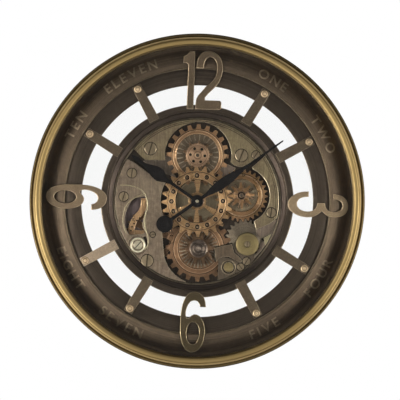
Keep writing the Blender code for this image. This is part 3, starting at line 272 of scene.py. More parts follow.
def front_loops(node: str, depth: float) -> list[Loop]:
    """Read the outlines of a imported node's front face.

    Args:
        node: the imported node's name.
        depth: the face's depth in millimetres.

    Returns:
        Every closed outline of that face, in millimetres across and up.
    """
    work = bmesh.new()
    work.from_mesh(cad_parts[node].data)
    bmesh.ops.remove_doubles(work, verts=work.verts, dist=SAME_SPOT)
    level = -depth * MM
    front = {f for f in work.faces if all(abs(v.co.y - level) < 2e-5 for v in f.verts)}
    onward: dict[int, bmesh.types.BMVert] = {}
    for face in front:
        for corner in face.loops:
            if sum(near in front for near in corner.edge.link_faces) == 1:
                onward[corner.vert.index] = corner.link_loop_next.vert
    loops: list[Loop] = []
    work.verts.ensure_lookup_table()
    while onward:
        start = next(iter(onward))
        loop, here = [], start
        while here in onward:
            vertex = work.verts[here]
            loop.append((vertex.co.x / MM, vertex.co.z / MM))
            here = onward.pop(here).index
        loops.append(loop)
    work.free()
    return loops


# Mesh makers


def link(mesh: Mesh, name: str) -> Piece:
    """Make a scene object at the origin for a finished mesh.

    Args:
        mesh: the mesh, text or curve to show.
        name: the object's name.

    Returns:
        The object, linked to the scene.
    """
    piece = bpy.data.objects.new(name, mesh)
    bpy.context.scene.collection.objects.link(piece)
    return piece


def evaluated_mesh(piece: Piece) -> Mesh:
    """Turn an object with its modifiers into a plain mesh and remove the object.

    Args:
        piece: the object to turn.

    Returns:
        The plain mesh.
    """
    graph = bpy.context.evaluated_depsgraph_get()
    mesh = bpy.data.meshes.new_from_object(piece.evaluated_get(graph))
    bpy.data.objects.remove(piece, do_unlink=True)
    return mesh


def mark_wear(mesh: Mesh, worn: Callable[[bpy.types.MeshPolygon], float]) -> None:
    """Write the attribute that the finishes read: painted highlight with rubbing on bevels, painted shade on
    sides.

    Args:
        mesh: the finished mesh.
        worn: gives 1 for a face bright from rubbing and painted highlight, -1 for one in painted shade, 0 for
            the rest.
    """
    layer = mesh.attributes.get(WEAR) or mesh.attributes.new(WEAR, "FLOAT", "FACE")
    for face in mesh.polygons:
        layer.data[face.index].value = worn(face)


def edge_wear(face: bpy.types.MeshPolygon) -> float:
    """Give the mark of a face from its slope: bevels get rubbing and painted highlight, upright sides painted
    shade.

    Args:
        face: the face to judge.

    Returns:
        1 for a bevel, -1 for an upright side, 0 for a flat.
    """
    slope = abs(face.normal.y)
    if slope < 0.5:
        return -1.0
    return 1.0 if slope < FLAT_SLOPE else 0.0


def all_dirty(face: bpy.types.MeshPolygon) -> float:
    """Give the mark of a floor that lies in painted shade all over."""
    return -1.0


def turned(
    name: str, profile: Sequence[Point], centre: Point = (0.0, 0.0), segments: int = 96,
    worn: Sequence[Point] = (),
) -> Mesh:
    """Turn a closed profile about an axis along Y.

    Args:
        name: the mesh's name.
        profile: closed (radius, depth) outline.
        centre: where the axis stands.
        segments: pieces around.
        worn: radius ranges whose faces are painted bright, by rubbing and painted highlight.

    Returns:
        The closed mesh.
    """
    work = bmesh.new()
    rings = []
    for radius, depth in profile:
        count = segments if radius > SAME_SPOT else 1
        ring = []
        for index in range(count):
            x, z = polar(radius, 360.0 * index / segments, centre)
            ring.append(work.verts.new(place(x, depth, z)))
        rings.append(ring)
    for ring, following in zip(rings, rings[1:] + rings[:1]):
        for index in range(segments):
            after = (index + 1) % segments
            corners = [ring[index % len(ring)], ring[after % len(ring)]]
            corners += [following[after % len(following)], following[index % len(following)]]
            corners = list(dict.fromkeys(corners))
            if len(corners) > 2:
                work.faces.new(corners)
    bmesh.ops.recalc_face_normals(work, faces=work.faces)
    mesh = bpy.data.meshes.new(name)
    work.to_mesh(mesh)
    work.free()
    mesh.shade_smooth()
    mesh.set_sharp_from_angle(angle=math.radians(TURNED_CREASE))
    middle = Vector((centre[0], centre[1]))

    def rubbed(face: bpy.types.MeshPolygon) -> float:
        """Give the mark of a face: bright by rubbing and painted highlight in a given range, painted shade on
        upright faces.
        """
        spot = Vector((face.center.x / MM, face.center.z / MM)) - middle
        if face.normal.y < -0.1 and any(low <= spot.length <= high for low, high in worn):
            return 1.0
        return -1.0 if abs(face.normal.y) < 0.1 else 0.0

    mark_wear(mesh, rubbed)
    return mesh


def cut_sheet(
    name: str, loops: Sequence[Sequence[Point]], back: float, front: float, bevel: float, parts: int = 2,
) -> Mesh:
    """Cut a bevelled sheet from closed outlines, holes included.

    Args:
        name: the mesh's name.
        loops: the outer outline and every hole.
        back: depth of the back face.
        front: depth of the front face.
        bevel: size of the bevel on both edges.
        parts: how finely the bevel is rounded.

    Returns:
        The closed mesh, in its place.
    """
    curve = bpy.data.curves.new(name, "CURVE")
    curve.dimensions = "2D"
    curve.fill_mode = "BOTH"
    curve.extrude = ((front - back) / 2 - bevel) * MM
    curve.bevel_depth = bevel * MM
    curve.bevel_resolution = parts - 1
    curve.offset = -bevel * MM
    for loop in loops:
        spline = curve.splines.new("POLY")
        spline.points.add(len(loop) - 1)
        for point, (x, z) in zip(spline.points, loop):
            point.co = (x * MM, z * MM, 0.0, 1.0)
        spline.use_cyclic_u = True
    mesh = evaluated_mesh(link(curve, name + "_cut"))
    mesh.transform(Matrix.Rotation(math.radians(90.0), 4, "X"))
    mesh.transform(Matrix.Translation(place(0.0, (front + back) / 2, 0.0)))
    return closed(mesh, name)


def closed(mesh: Mesh, name: str, smooth_angle: float = 32.0) -> Mesh:
    """Weld a mesh, turn its faces outward, shade it, and mark its bevels for rubbing and painted highlight
    and its sides for painted shade.

    Args:
        mesh: the mesh to finish.
        name: its new name.
        smooth_angle: the least turn in degrees that stays a sharp edge.

    Returns:
        The same mesh.
    """
    work = bmesh.new()
    work.from_mesh(mesh)
    bmesh.ops.remove_doubles(work, verts=work.verts, dist=2e-6)
    bmesh.ops.dissolve_degenerate(work, edges=work.edges, dist=SAME_SPOT)
    bmesh.ops.recalc_face_normals(work, faces=work.faces)
    work.to_mesh(mesh)
    work.free()
    mesh.name = name
    mesh.materials.clear()
    mesh.shade_smooth()
    mesh.set_sharp_from_angle(angle=math.radians(smooth_angle))
    crease_flats(mesh)
    mark_wear(mesh, edge_wear)
    return mesh


def crease_flats(mesh: Mesh) -> None:
    """Keep front and back faces flat by making their borders sharp.

    Args:
        mesh: the mesh to mark.
    """
    work = bmesh.new()
    work.from_mesh(mesh)
    for edge in work.edges:
        flat = [abs(face.normal.y) > FLAT_SLOPE for face in edge.link_faces]
        if any(flat) and not all(flat):
            edge.smooth = False
    work.to_mesh(mesh)
    work.free()


def refined(node: str, bevel: float, parts: int = 2) -> Mesh:
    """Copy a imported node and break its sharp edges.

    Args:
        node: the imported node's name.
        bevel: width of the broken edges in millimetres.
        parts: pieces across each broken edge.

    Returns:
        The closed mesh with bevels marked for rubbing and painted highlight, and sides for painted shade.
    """
    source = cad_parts[node].data
    work = bmesh.new()
    work.from_mesh(source)
    bmesh.ops.remove_doubles(work, verts=work.verts, dist=SAME_SPOT)
    flat = math.radians(FLAT_TURN)
    bmesh.ops.dissolve_limit(work, angle_limit=flat, verts=work.verts, edges=work.edges)
    mesh = bpy.data.meshes.new(node + "_refined")
    work.to_mesh(mesh)
    work.free()
    piece = link(mesh, node + "_source")
    modifier = piece.modifiers.new("broken_edges", "BEVEL")
    modifier.width = bevel * MM
    modifier.segments = parts
    modifier.limit_method = "ANGLE"
    modifier.angle_limit = math.radians(BEVELLED_TURN)
    modifier.use_clamp_overlap = True
    return closed(evaluated_mesh(piece), node + "_refined")


def joined(name: str, meshes: Iterable[Mesh]) -> Mesh:
    """Join meshes that belong to one piece, wear marks included.

    Args:
        name: the result's name.
        meshes: the meshes to join.

    Returns:
        The joined mesh.
    """
    work = bmesh.new()
    for mesh in meshes:
        work.from_mesh(mesh)
    result = bpy.data.meshes.new(name)
    work.to_mesh(result)
    work.free()
    return result


# Shader node groups


class NodeSketch:
    """Adds and joins nodes in one tree."""

    def __init__(self, tree: Tree) -> None:
        """Keep the tree that the nodes go into."""
        self.tree = tree

    def add(self, kind: str, **inputs: object) -> Node:
        """Add a node and set or join its inputs.

        Args:
            kind: the node's type name.
            inputs: values or sockets by input name, with spaces written as underscores.

        Returns:
            The new node.
        """
        return self.give(self.tree.nodes.new(kind), **inputs)

    def group(self, tree: Tree, **inputs: object) -> Node:
        """Place a node group and set or join its inputs.

        Args:
            tree: the group to place.
            inputs: values or sockets by input name, with spaces written as underscores.

        Returns:
            The group's node.
        """
        node = self.add("ShaderNodeGroup")
        node.node_tree = tree
        return self.give(node, **inputs)

    def give(self, node: Node, **inputs: object) -> Node:
        """Set or join a node's inputs by name.

        Args:
            node: the node.
            inputs: values or sockets by input name, with spaces written as underscores.

        Returns:
            The same node.
        """
        for label, value in inputs.items():
            self.feed(node.inputs[label.replace("_", " ")], value)
        return node

    def in_order(self, node: Node, *values: object) -> Socket:
        """Set or join a node's inputs in their order.

        Args:
            node: the node.
            values: values or sockets, first input first.

        Returns:
            The node's first output.
        """
        for target, value in zip(node.inputs, values):
            self.feed(target, value)
        return node.outputs[0]

    def feed(self, target: Socket, value: object) -> None:
        """Join a socket to an input, or write a plain value there.

        Args:
            target: the input.
            value: a socket, or a plain value.
        """
        if isinstance(value, Socket):
            self.tree.links.new(value, target)
        else:
            target.default_value = value

    def math(self, operation: str, *values: object, clamp: bool = False) -> Socket:
        """Add a Math node and give its result.

        Args:
            operation: what the node does.
            values: values or sockets in order.
            clamp: whether the result is held between 0 and 1.

        Returns:
            The result's socket.
        """
        node = self.add("ShaderNodeMath")
        node.operation = operation
        node.use_clamp = clamp
        return self.in_order(node, *values)

    def ranged(
        self, value: object, low: object, high: object, to_low: object = 0.0, to_high: object = 1.0,
    ) -> Socket:
        """Map a value from one range to another, held at its ends.

        Args:
            value: the value to map.
            low: where the first range starts.
            high: where it ends.
            to_low: where the second range starts.
            to_high: where it ends.

        Returns:
            The mapped value's socket.
        """
        node = self.add("ShaderNodeMapRange")
        node.clamp = True
        return self.in_order(node, value, low, high, to_low, to_high)

    def distance(self, x: object, z: object) -> Socket:
        """Add the nodes that give how far a place lies from the Y axis."""
        squares = self.math("ADD", self.math("MULTIPLY", x, x), self.math("MULTIPLY", z, z))
        return self.math("SQRT", squares)

    def noise(self, vector: object, scale: object, detail: float = 3.0, roughness: float = 0.55) -> Socket:
        """Add a noise texture and give its value."""
        node = self.add("ShaderNodeTexNoise", Vector=vector, Scale=scale, Detail=detail, Roughness=roughness)
        return node.outputs["Fac"]

    def mixed(self, factor: object, first: object, second: object, kind: str = "MIX") -> Socket:
        """Mix two colours and give the result.

        Args:
            factor: the share of the second colour.
            first: the first colour.
            second: the second colour.
            kind: how they blend.

        Returns:
            The mixed colour's socket.
        """
        node = self.add("ShaderNodeMix")
        node.data_type = "RGBA"
        node.blend_type = kind
        node.clamp_factor = True
        for index, value in zip(MIX_COLOUR_INPUTS, (factor, first, second)):
            self.feed(node.inputs[index], value)
        return node.outputs[MIX_COLOUR_OUTPUT]


class ShaderLibrary:
    """The shader node groups that the finishes share, each built once."""

    def __init__(self) -> None:
        """Build every group."""
        self.patina = self.build_patina()
        self.grains = {
            Grain.TURNED: self.build_turned_grain(),
            Grain.BRUSHED: self.build_brushed_grain(),
            Grain.CAST: self.build_speckle("cast_grain", 5.0, 0.75),
            Grain.MOULDED: self.build_speckle("moulded_grain", 2.0, 0.5),
        }
        self.worn_edge = self.build_worn_edge()
        self.recess = self.build_recess()
        self.ring_line = self.build_ring_line()

    def start(
        self, name: str, inputs: Sequence[tuple[str, str, object]], outputs: Sequence[tuple[str, str]],
    ) -> tuple[NodeSketch, Sockets, Sockets]:
        """Start a shader group with named sockets.

        Args:
            name: the group's name.
            inputs: label, socket type and default of each input.
            outputs: label and socket type of each output.

        Returns:
            The sketch, and the sockets of the group's inputs and outputs by name.
        """
        tree = bpy.data.node_groups.new(name, "ShaderNodeTree")
        for label, kind, default in inputs:
            socket = tree.interface.new_socket(name=label, in_out="INPUT", socket_type=kind)
            if default is not None:
                socket.default_value = default
        for label, kind in outputs:
            tree.interface.new_socket(name=label, in_out="OUTPUT", socket_type=kind)
        sketch = NodeSketch(tree)
        given, out = sketch.add("NodeGroupInput").outputs, sketch.add("NodeGroupOutput").inputs
        return sketch, {socket.name: socket for socket in given}, {socket.name: socket for socket in out}

    def start_grain(self, name: str) -> tuple[NodeSketch, Sockets, Sockets]:
        """Start a group that makes a height and a streak of a place and a density."""
        inputs = [("Vector", VECTOR, None), ("Density", FLOAT, 900.0)]
        return self.start(name, inputs, [("Height", FLOAT), ("Streak", FLOAT)])

    def build_patina(self) -> Tree:
        """Blend a clean and an aged colour in soft clouds with fine specks.

        Returns:
            The node group.
        """
        sketch, given, out = self.start(
            "aged_clouds",
            [
                ("Vector", VECTOR, None), ("Clean Color", COLOUR, None), ("Aged Color", COLOUR, None),
                ("Scale", FLOAT, 14.0), ("Amount", FLOAT, 0.5),
            ],
            [("Color", COLOUR), ("Mask", FLOAT)],
        )
        vector, scale = given["Vector"], given["Scale"]
        wide = sketch.noise(vector, scale, 5.0, 0.6)
        fine = sketch.noise(vector, sketch.math("MULTIPLY", scale, 11.0), 4.0, 0.7)
        both = sketch.math("ADD", sketch.math("MULTIPLY", wide, 0.65), sketch.math("MULTIPLY", fine, 0.35))
        mask = sketch.math("MULTIPLY", sketch.ranged(both, 0.38, 0.62), given["Amount"])
        colour = sketch.mixed(mask, given["Clean Color"], given["Aged Color"])
        sketch.feed(out["Color"], colour)
        sketch.feed(out["Mask"], mask)
        return sketch.tree

    def build_turned_grain(self) -> Tree:
        """Give the fine rings that a lathe or a turning brush leaves about the Y axis.

        Returns:
            The node group.
        """
        sketch, given, out = self.start_grain("turned_grain")
        split = sketch.add("ShaderNodeSeparateXYZ", Vector=given["Vector"])
        x, z = split.outputs["X"], split.outputs["Z"]
        radius = sketch.distance(x, z)
        around = sketch.math("ARCTAN2", x, z)
        drawn = sketch.add(
            "ShaderNodeCombineXYZ", X=sketch.math("MULTIPLY", radius, given["Density"]),
            Y=sketch.math("MULTIPLY", sketch.math("COSINE", around), 1.3),
            Z=sketch.math("MULTIPLY", split.outputs["Y"], given["Density"]),
        )
        streak = sketch.noise(drawn.outputs[0], 1.0, 3.0, 0.6)
        sketch.feed(out["Height"], streak)
        sketch.feed(out["Streak"], streak)
        return sketch.tree

    def build_brushed_grain(self) -> Tree:
        """Give the long fine lines of straight brushing along Z.

        Returns:
            The node group.
        """
        sketch, given, out = self.start_grain("brushed_grain")
        split = sketch.add("ShaderNodeSeparateXYZ", Vector=given["Vector"])
        density = given["Density"]
        drawn = sketch.add(
            "ShaderNodeCombineXYZ", X=sketch.math("MULTIPLY", split.outputs["X"], density),
            Y=sketch.math("MULTIPLY", split.outputs["Y"], density),
            Z=sketch.math("MULTIPLY", split.outputs["Z"], sketch.math("MULTIPLY", density, 0.035)),
        )
        streak = sketch.noise(drawn.outputs[0], 1.0, 3.0, 0.6)
        sketch.feed(out["Height"], streak)
        sketch.feed(out["Streak"], streak)
        return sketch.tree

    def build_speckle(self, name: str, detail: float, roughness: float) -> Tree:
        """Give an even speckle, as on cast or moulded surfaces.

        Args:
            name: the group's name.
            detail: how many finer layers the noise has.
            roughness: how strong they are.

        Returns:
            The node group.
        """
        sketch, given, out = self.start_grain(name)
        speck = sketch.noise(given["Vector"], given["Density"], detail, roughness)
        sketch.feed(out["Height"], speck)
        sketch.feed(out["Streak"], speck)
        return sketch.tree

    def build_worn_edge(self) -> Tree:
        """Break the bevels' brightening, from rubbing and painted highlight, into patches, and give the
        upright sides painted shade.

        Returns:
            The node group.
        """
        sketch, given, out = self.start(
            "worn_edge",
            [("Vector", VECTOR, None), ("Wear", FLOAT, 0.0), ("Amount", FLOAT, 0.6), ("Dirt", FLOAT, 0.7)],
            [("Mask", FLOAT), ("Dirt Mask", FLOAT)],
        )
        patches = sketch.ranged(sketch.noise(given["Vector"], 160.0, 4.0, 0.7), 0.3, 0.62, 0.35, 1.0)
        rubbed = sketch.math("MULTIPLY", given["Wear"], patches)
        sketch.feed(out["Mask"], sketch.math("MULTIPLY", rubbed, given["Amount"], clamp=True))
        # The upright sides get painted shade.
        held = sketch.ranged(given["Wear"], 0.0, -1.0, 0.0, given["Dirt"])
        sketch.feed(out["Dirt Mask"], held)
        return sketch.tree

    def build_recess(self) -> Tree:
        """Give a mask that grows with depth below a level: painted shade in deep places.

        Returns:
            The node group.
        """
        sketch, given, out = self.start(
            "deep_grime",
            [("Vector", VECTOR, None), ("Clean Level", FLOAT, -0.03), ("Dirty Level", FLOAT, -0.02)],
            [("Mask", FLOAT)],
        )
        split = sketch.add("ShaderNodeSeparateXYZ", Vector=given["Vector"])
        mask = sketch.ranged(split.outputs["Y"], given["Clean Level"], given["Dirty Level"])
        sketch.feed(out["Mask"], mask)
        return sketch.tree

    def build_ring_line(self) -> Tree:
        """Give one ring about the pattern's own axis.

        Returns:
            The node group.
        """
        sketch, given, out = self.start(
            "engraved_ring",
            [
                ("Vector", VECTOR, None), ("Radius", FLOAT, 0.127), ("Core", FLOAT, 0.0002),
                ("Half Width", FLOAT, 0.0004),
            ],
            [("Mask", FLOAT)],
        )
        split = sketch.add("ShaderNodeSeparateXYZ", Vector=given["Vector"])
        x, z = split.outputs["X"], split.outputs["Z"]
        radius = sketch.distance(x, z)
        off = sketch.math("ABSOLUTE", sketch.math("SUBTRACT", radius, given["Radius"]))
        edge = sketch.ranged(off, given["Core"], given["Half Width"], 1.0, 0.0)
        sketch.feed(out["Mask"], edge)
        return sketch.tree


@dataclass(frozen=True)
class RingMark:
    """A dark ring about a finish's axis: an engraved line, a darker band, or a ring of painted shade at a
    fold or edge.
    """

    radius: float
    half_width: float = 0.5
    strength: float = 0.75
    cut: float = 0.0


@dataclass(frozen=True)
class Finish:
    """One surface finish: how it is worked, where rubbing and painted highlight brighten it, and where
    painted shade darkens it.
    """

    name: str
    slot: str
    colour: Colour
    aged: Colour
    metallic: float = 1.0
    roughness: float = 0.42
    rough_spread: float = 0.12
    grain: Grain = Grain.BRUSHED
    density: float = 700.0
    bump: float = 0.12
    relief: float = 0.2
    cloud_scale: float = 14.0
    cloud_amount: float = 0.55
    # Colour of bevels and listed rings: brightening by rubbing and painted highlight.
    worn: Colour = (0.6, 0.5, 0.35)
    wear: float = 0.55
    # Painted shade: darkens the colour from the first depth towards the second, deeper one.
    grime: float = 0.0
    clean_depth: float = 32.0
    grimy_depth: float = 22.0
    marks: tuple[RingMark, ...] = ()
    # Colour of the dark rings: engraved lines, darker bands and painted shade.
    stain: Colour = (0.03, 0.022, 0.015)
    # Painted shade on upright sides and slot floors.
    side_dirt: float = 0.75
    specular: float = 0.5


def started_material(name: str) -> tuple[Material, NodeSketch, Node]:
    """Start a material with a plain surface shader.

    Args:
        name: the material's name.

    Returns:
        The material, its nodes and the shader.
    """
    material = bpy.data.materials.new(name)
    material.use_nodes = True
    return material, NodeSketch(material.node_tree), material.node_tree.nodes["Principled BSDF"]


class FinishShop:
    """Makes each finish's material once for each centre of its turned grain."""

    def __init__(self, library: ShaderLibrary) -> None:
        """Keep the groups and start with no materials."""
        self.library = library
        self.made: dict[tuple[str, Point], Material] = {}

    def material(self, finish: Finish, centre: Point = (0.0, 0.0)) -> Material:
        """Give the finish's material with its grain centred on an axis.

        Args:
            finish: the finish to make.
            centre: the axis of the turned grain, in millimetres.

        Returns:
            The material.
        """
        key = (finish.name, centre)
        if key in self.made:
            return self.made[key]
        name = finish.name if centre == (0.0, 0.0) else f"{finish.name}_{len(self.made)}"
        material, sketch, shader = started_material(name)
        spot = sketch.add("ShaderNodeTexCoord").outputs["Object"]
        shift = (-centre[0] * MM, 0.0, -centre[1] * MM)
        centred = sketch.add("ShaderNodeMapping", Vector=spot, Location=shift).outputs[0]
        clouds = sketch.group(
            self.library.patina, Vector=spot, Clean_Color=(*finish.colour, 1.0),
            Aged_Color=(*finish.aged, 1.0), Scale=finish.cloud_scale, Amount=finish.cloud_amount,
        )
        colour = clouds.outputs["Color"]
        grain = sketch.group(self.library.grains[finish.grain], Vector=centred, Density=finish.density)
        streak = sketch.ranged(grain.outputs["Streak"], 0.35, 0.65, 1.0 - finish.bump, 1.0 + finish.bump)
        bright = sketch.add("ShaderNodeCombineXYZ", X=streak, Y=streak, Z=streak)
        colour = sketch.mixed(1.0, colour, bright.outputs[0], "MULTIPLY")
        height = grain.outputs["Height"]
        # Dark rings: engraved lines and darker bands, and painted shade along folds and edges.
        for mark in finish.marks:
            line = sketch.group(
                self.library.ring_line, Vector=centred, Radius=mark.radius * MM,
                Core=(mark.half_width - min(0.4, mark.half_width / 2)) * MM,
                Half_Width=mark.half_width * MM,
            )
            share = sketch.math("MULTIPLY", line.outputs["Mask"], mark.strength)
            colour = sketch.mixed(share, colour, (*finish.stain, 1.0))
            if mark.cut > 0.0:
                dip = sketch.math("MULTIPLY", line.outputs["Mask"], mark.cut)
                height = sketch.math("SUBTRACT", height, dip)
        # Painted shade: the colour darkens with depth towards the wall, standing in for shade in deep places.
        if finish.grime > 0.0:
            deep = sketch.group(
                self.library.recess, Vector=spot, Clean_Level=-finish.clean_depth * MM,
                Dirty_Level=-finish.grimy_depth * MM,
            )
            share = sketch.math("MULTIPLY", deep.outputs["Mask"], finish.grime)
            colour = sketch.mixed(share, colour, GRIME_TONE)
        attribute = sketch.add("ShaderNodeAttribute")
        attribute.attribute_name = WEAR
        rubbed = sketch.group(
            self.library.worn_edge, Vector=spot, Wear=attribute.outputs["Fac"], Amount=finish.wear,
            Dirt=finish.side_dirt,
        )
        # Bevels and listed rings brighten: rubbing and painted highlight.
        colour = sketch.mixed(rubbed.outputs["Mask"], colour, (*finish.worn, 1.0))
        # Painted shade on upright sides and slot floors.
        colour = sketch.mixed(rubbed.outputs["Dirt Mask"], colour, SIDE_DIRT_TONE)
        rough = sketch.ranged(
            clouds.outputs["Mask"], 0.0, max(finish.cloud_amount, 0.01),
            finish.roughness - finish.rough_spread / 2, finish.roughness + finish.rough_spread / 2,
        )
        bump = sketch.add("ShaderNodeBump", Height=height, Distance=finish.relief * MM, Strength=1.0)
        sketch.give(
            shader, Base_Color=colour, Roughness=rough, Normal=bump.outputs[0], Metallic=finish.metallic,
            Specular_IOR_Level=finish.specular,
        )
        self.made[key] = material
        return material

    def glass(self) -> Material:
        """Make the clear front glass, which lets the lamps through.

        Returns:
            The material.
        """
        material, sketch, shader = started_material("clear_front_glass")
        sketch.give(
            shader, Base_Color=(0.985, 0.99, 0.985, 1.0), Roughness=0.0, Transmission_Weight=1.0, IOR=1.45,
            Specular_IOR_Level=0.12,
        )
        path = sketch.add("ShaderNodeLightPath")
        clear = sketch.add("ShaderNodeBsdfTransparent")
        mix = sketch.add("ShaderNodeMixShader")
        mixed = sketch.in_order(mix, path.outputs["Is Shadow Ray"], shader.outputs[0], clear.outputs[0])
        sketch.give(sketch.tree.nodes["Material Output"], Surface=mixed)
        return material


# Finishes


def toned(base: Finish, name: str, colour: Colour, aged: Colour, **changes: object) -> Finish:
    """Give a finish another name and other tones, and change what else is named."""
    return replace(base, name=name, colour=colour, aged=aged, **changes)


# The ring at 250.4 is painted shade under the roll's lip; the others darken the fine line, the groove and the
# bead.
RIM_GOLD = Finish(
    "antique_rim_gold", "rim_gold", (0.475, 0.345, 0.15), (0.325, 0.232, 0.096), roughness=0.56,
    grain=Grain.TURNED, density=420.0, bump=0.12, relief=0.16, cloud_scale=9.0, worn=(0.46, 0.35, 0.165),
    wear=0.3, grime=0.3, clean_depth=50.0, grimy_depth=46.4,
    marks=(
        RingMark(250.4, 2.6, 0.7), RingMark(260.3, 0.6, 0.4), RingMark(264.6, 0.8, 0.2),
        RingMark(268.8, 2.8, 0.85),
    ),
)
# The ring at 212.6 is a painted shadow line at the fold under the lip.
DISH_BRONZE = Finish(
    "chapter_ring_bronze", "dish_bronze", (0.138, 0.103, 0.069), (0.068, 0.05, 0.037), roughness=0.5,
    grain=Grain.TURNED, density=1200.0, bump=0.25, relief=0.5, cloud_scale=11.0, worn=(0.18, 0.14, 0.09),
    wear=0.7, grime=0.08, clean_depth=26.0, grimy_depth=22.0, marks=(RingMark(212.6, 2.8, 0.85),),
)
RING_DARK = Finish(
    "dark_ring_bronze", "ring_dark", (0.092, 0.071, 0.052), (0.055, 0.043, 0.034), roughness=0.36,
    grain=Grain.TURNED, density=1300.0, bump=0.22, relief=0.3, cloud_scale=12.0, worn=(0.3, 0.24, 0.15),
    wear=0.55,
)
BAR_BRONZE = Finish(
    "rubbed_bar_bronze", "bar_bronze", (0.23, 0.172, 0.108), (0.13, 0.093, 0.062), metallic=0.97,
    roughness=0.4, grain=Grain.CAST, density=700.0, bump=0.3, relief=0.4, cloud_scale=45.0,
    worn=(0.66, 0.51, 0.33), wear=0.85, grime=0.8, clean_depth=38.4, grimy_depth=36.6,
)
SPOKE_BRONZE = toned(
    BAR_BRONZE, "rubbed_spoke_bronze", (0.125, 0.095, 0.062), (0.07, 0.052, 0.037), worn=(0.4, 0.32, 0.21),
    clean_depth=35.4, grimy_depth=33.4,
)
# Lit and shaded copies of the bar bronze, as painted light: lighter for the 3, dimmer for the 12 and darkest
# for the 6.
BRIGHT_BAR = toned(BAR_BRONZE, "bright_bar_bronze", (0.33, 0.25, 0.155), (0.2, 0.145, 0.09))
TOP_BAR = toned(
    BAR_BRONZE, "brown_bar_bronze", (0.15, 0.112, 0.071), (0.087, 0.063, 0.042), worn=(0.5, 0.39, 0.25),
)
LOW_BAR = toned(
    BAR_BRONZE, "dark_bar_bronze", (0.085, 0.064, 0.035), (0.045, 0.034, 0.019), worn=(0.46, 0.37, 0.22),
)
# Each figure takes the copy painted for the light where it stands.
FIGURE_FINISHES = {
    "numeral_12_one": TOP_BAR, "numeral_12_two": TOP_BAR, "numeral_3": BRIGHT_BAR, "numeral_6": LOW_BAR,
    "numeral_9": BAR_BRONZE,
}
# A lit copy of the spoke bronze: painted light on the spoke at eight o'clock.
BRIGHT_SPOKE = toned(
    SPOKE_BRONZE, "bright_spoke_bronze", (0.36, 0.28, 0.2), (0.25, 0.19, 0.135), worn=(0.7, 0.58, 0.42),
)
RIVET_BRASS = Finish(
    "worn_rivet_brass", "rivet_brass", (0.27, 0.2, 0.12), (0.17, 0.12, 0.072), roughness=0.48,
    grain=Grain.CAST, density=600.0, bump=0.15, relief=0.4, cloud_scale=120.0, worn=(0.62, 0.48, 0.31),
    wear=0.75,
)
PLATE_BRONZE = Finish(
    "olive_plate_bronze", "plate_bronze", (0.33, 0.27, 0.155), (0.15, 0.11, 0.078), metallic=0.97,
    roughness=0.38, density=900.0, bump=0.2, relief=0.3, cloud_scale=26.0, cloud_amount=0.8,
    worn=(0.75, 0.64, 0.44), wear=0.85, grime=0.92, clean_depth=30.8, grimy_depth=25.0,
    marks=(RingMark(127.2, 0.6, 0.85, 2.5), RingMark(129.8, 0.6, 0.85, 2.5)),
)
BASE_DARK = Finish(
    "sooty_base_bronze", "base_dark", (0.13, 0.105, 0.08), (0.075, 0.058, 0.045), metallic=0.95,
    roughness=0.42, density=700.0, bump=0.25, relief=0.5, cloud_scale=30.0, worn=(0.3, 0.25, 0.17), wear=0.7,
    grime=0.75, clean_depth=23.3, grimy_depth=21.3,
)
WHEEL_COPPER = Finish(
    "copper_gold_wheel", "wheel_copper", (0.46, 0.265, 0.145), (0.27, 0.15, 0.082), metallic=0.97,
    roughness=0.32, grain=Grain.TURNED, density=1700.0, bump=0.25, relief=0.4, cloud_scale=60.0,
    cloud_amount=0.75, worn=(0.88, 0.62, 0.38), wear=0.85, grime=0.92, clean_depth=26.9, grimy_depth=22.0,
    side_dirt=0.92,
)
# The rings at 47.1 and 34.9 are painted shadow at the edges of the drilled ring.
LEAD_GOLD = toned(
    WHEEL_COPPER, "centre_gold_wheel", (0.5, 0.315, 0.155), (0.3, 0.18, 0.088), clean_depth=31.2,
    grimy_depth=27.0, marks=(RingMark(47.1, 0.7, 0.85), RingMark(34.9, 0.7, 0.85)),
)
TOP_COPPER = replace(
    WHEEL_COPPER, name="top_wheel_copper", colour=(0.41, 0.25, 0.13), clean_depth=25.6, grimy_depth=21.0,
    marks=(RingMark(41.2, 0.7, 0.9), RingMark(29.4, 5.4, 0.7), RingMark(12.0, 12.4, 0.5)),
)
RIGHT_COPPER = replace(
    WHEEL_COPPER, name="right_wheel_copper", colour=(0.34, 0.205, 0.09), clean_depth=25.6, grimy_depth=21.0,
    marks=(RingMark(34.9, 0.7, 0.9), RingMark(26.4, 0.7, 0.9)),
)
BOTTOM_COPPER = toned(
    WHEEL_COPPER, "bottom_wheel_copper", (0.235, 0.138, 0.074), (0.14, 0.08, 0.045), roughness=0.42,
    worn=(0.45, 0.3, 0.18),
    marks=(RingMark(41.3, 0.7, 0.9), RingMark(33.0, 0.7, 0.9), RingMark(13.0, 14.0, 0.5)),
)
DISC_COPPER = toned(
    WHEEL_COPPER, "disc_copper", (0.48, 0.31, 0.19), (0.3, 0.19, 0.12), worn=(0.72, 0.5, 0.3),
    clean_depth=33.2, grimy_depth=31.0, marks=(RingMark(6.0, 0.5, 0.8), RingMark(15.4, 0.5, 0.6)),
)
FIN_GREY = toned(
    WHEEL_COPPER, "grey_fin_bronze", (0.3, 0.25, 0.18), (0.2, 0.165, 0.118), worn=(0.5, 0.43, 0.32), wear=0.8,
    clean_depth=27.0, grimy_depth=25.6,
)
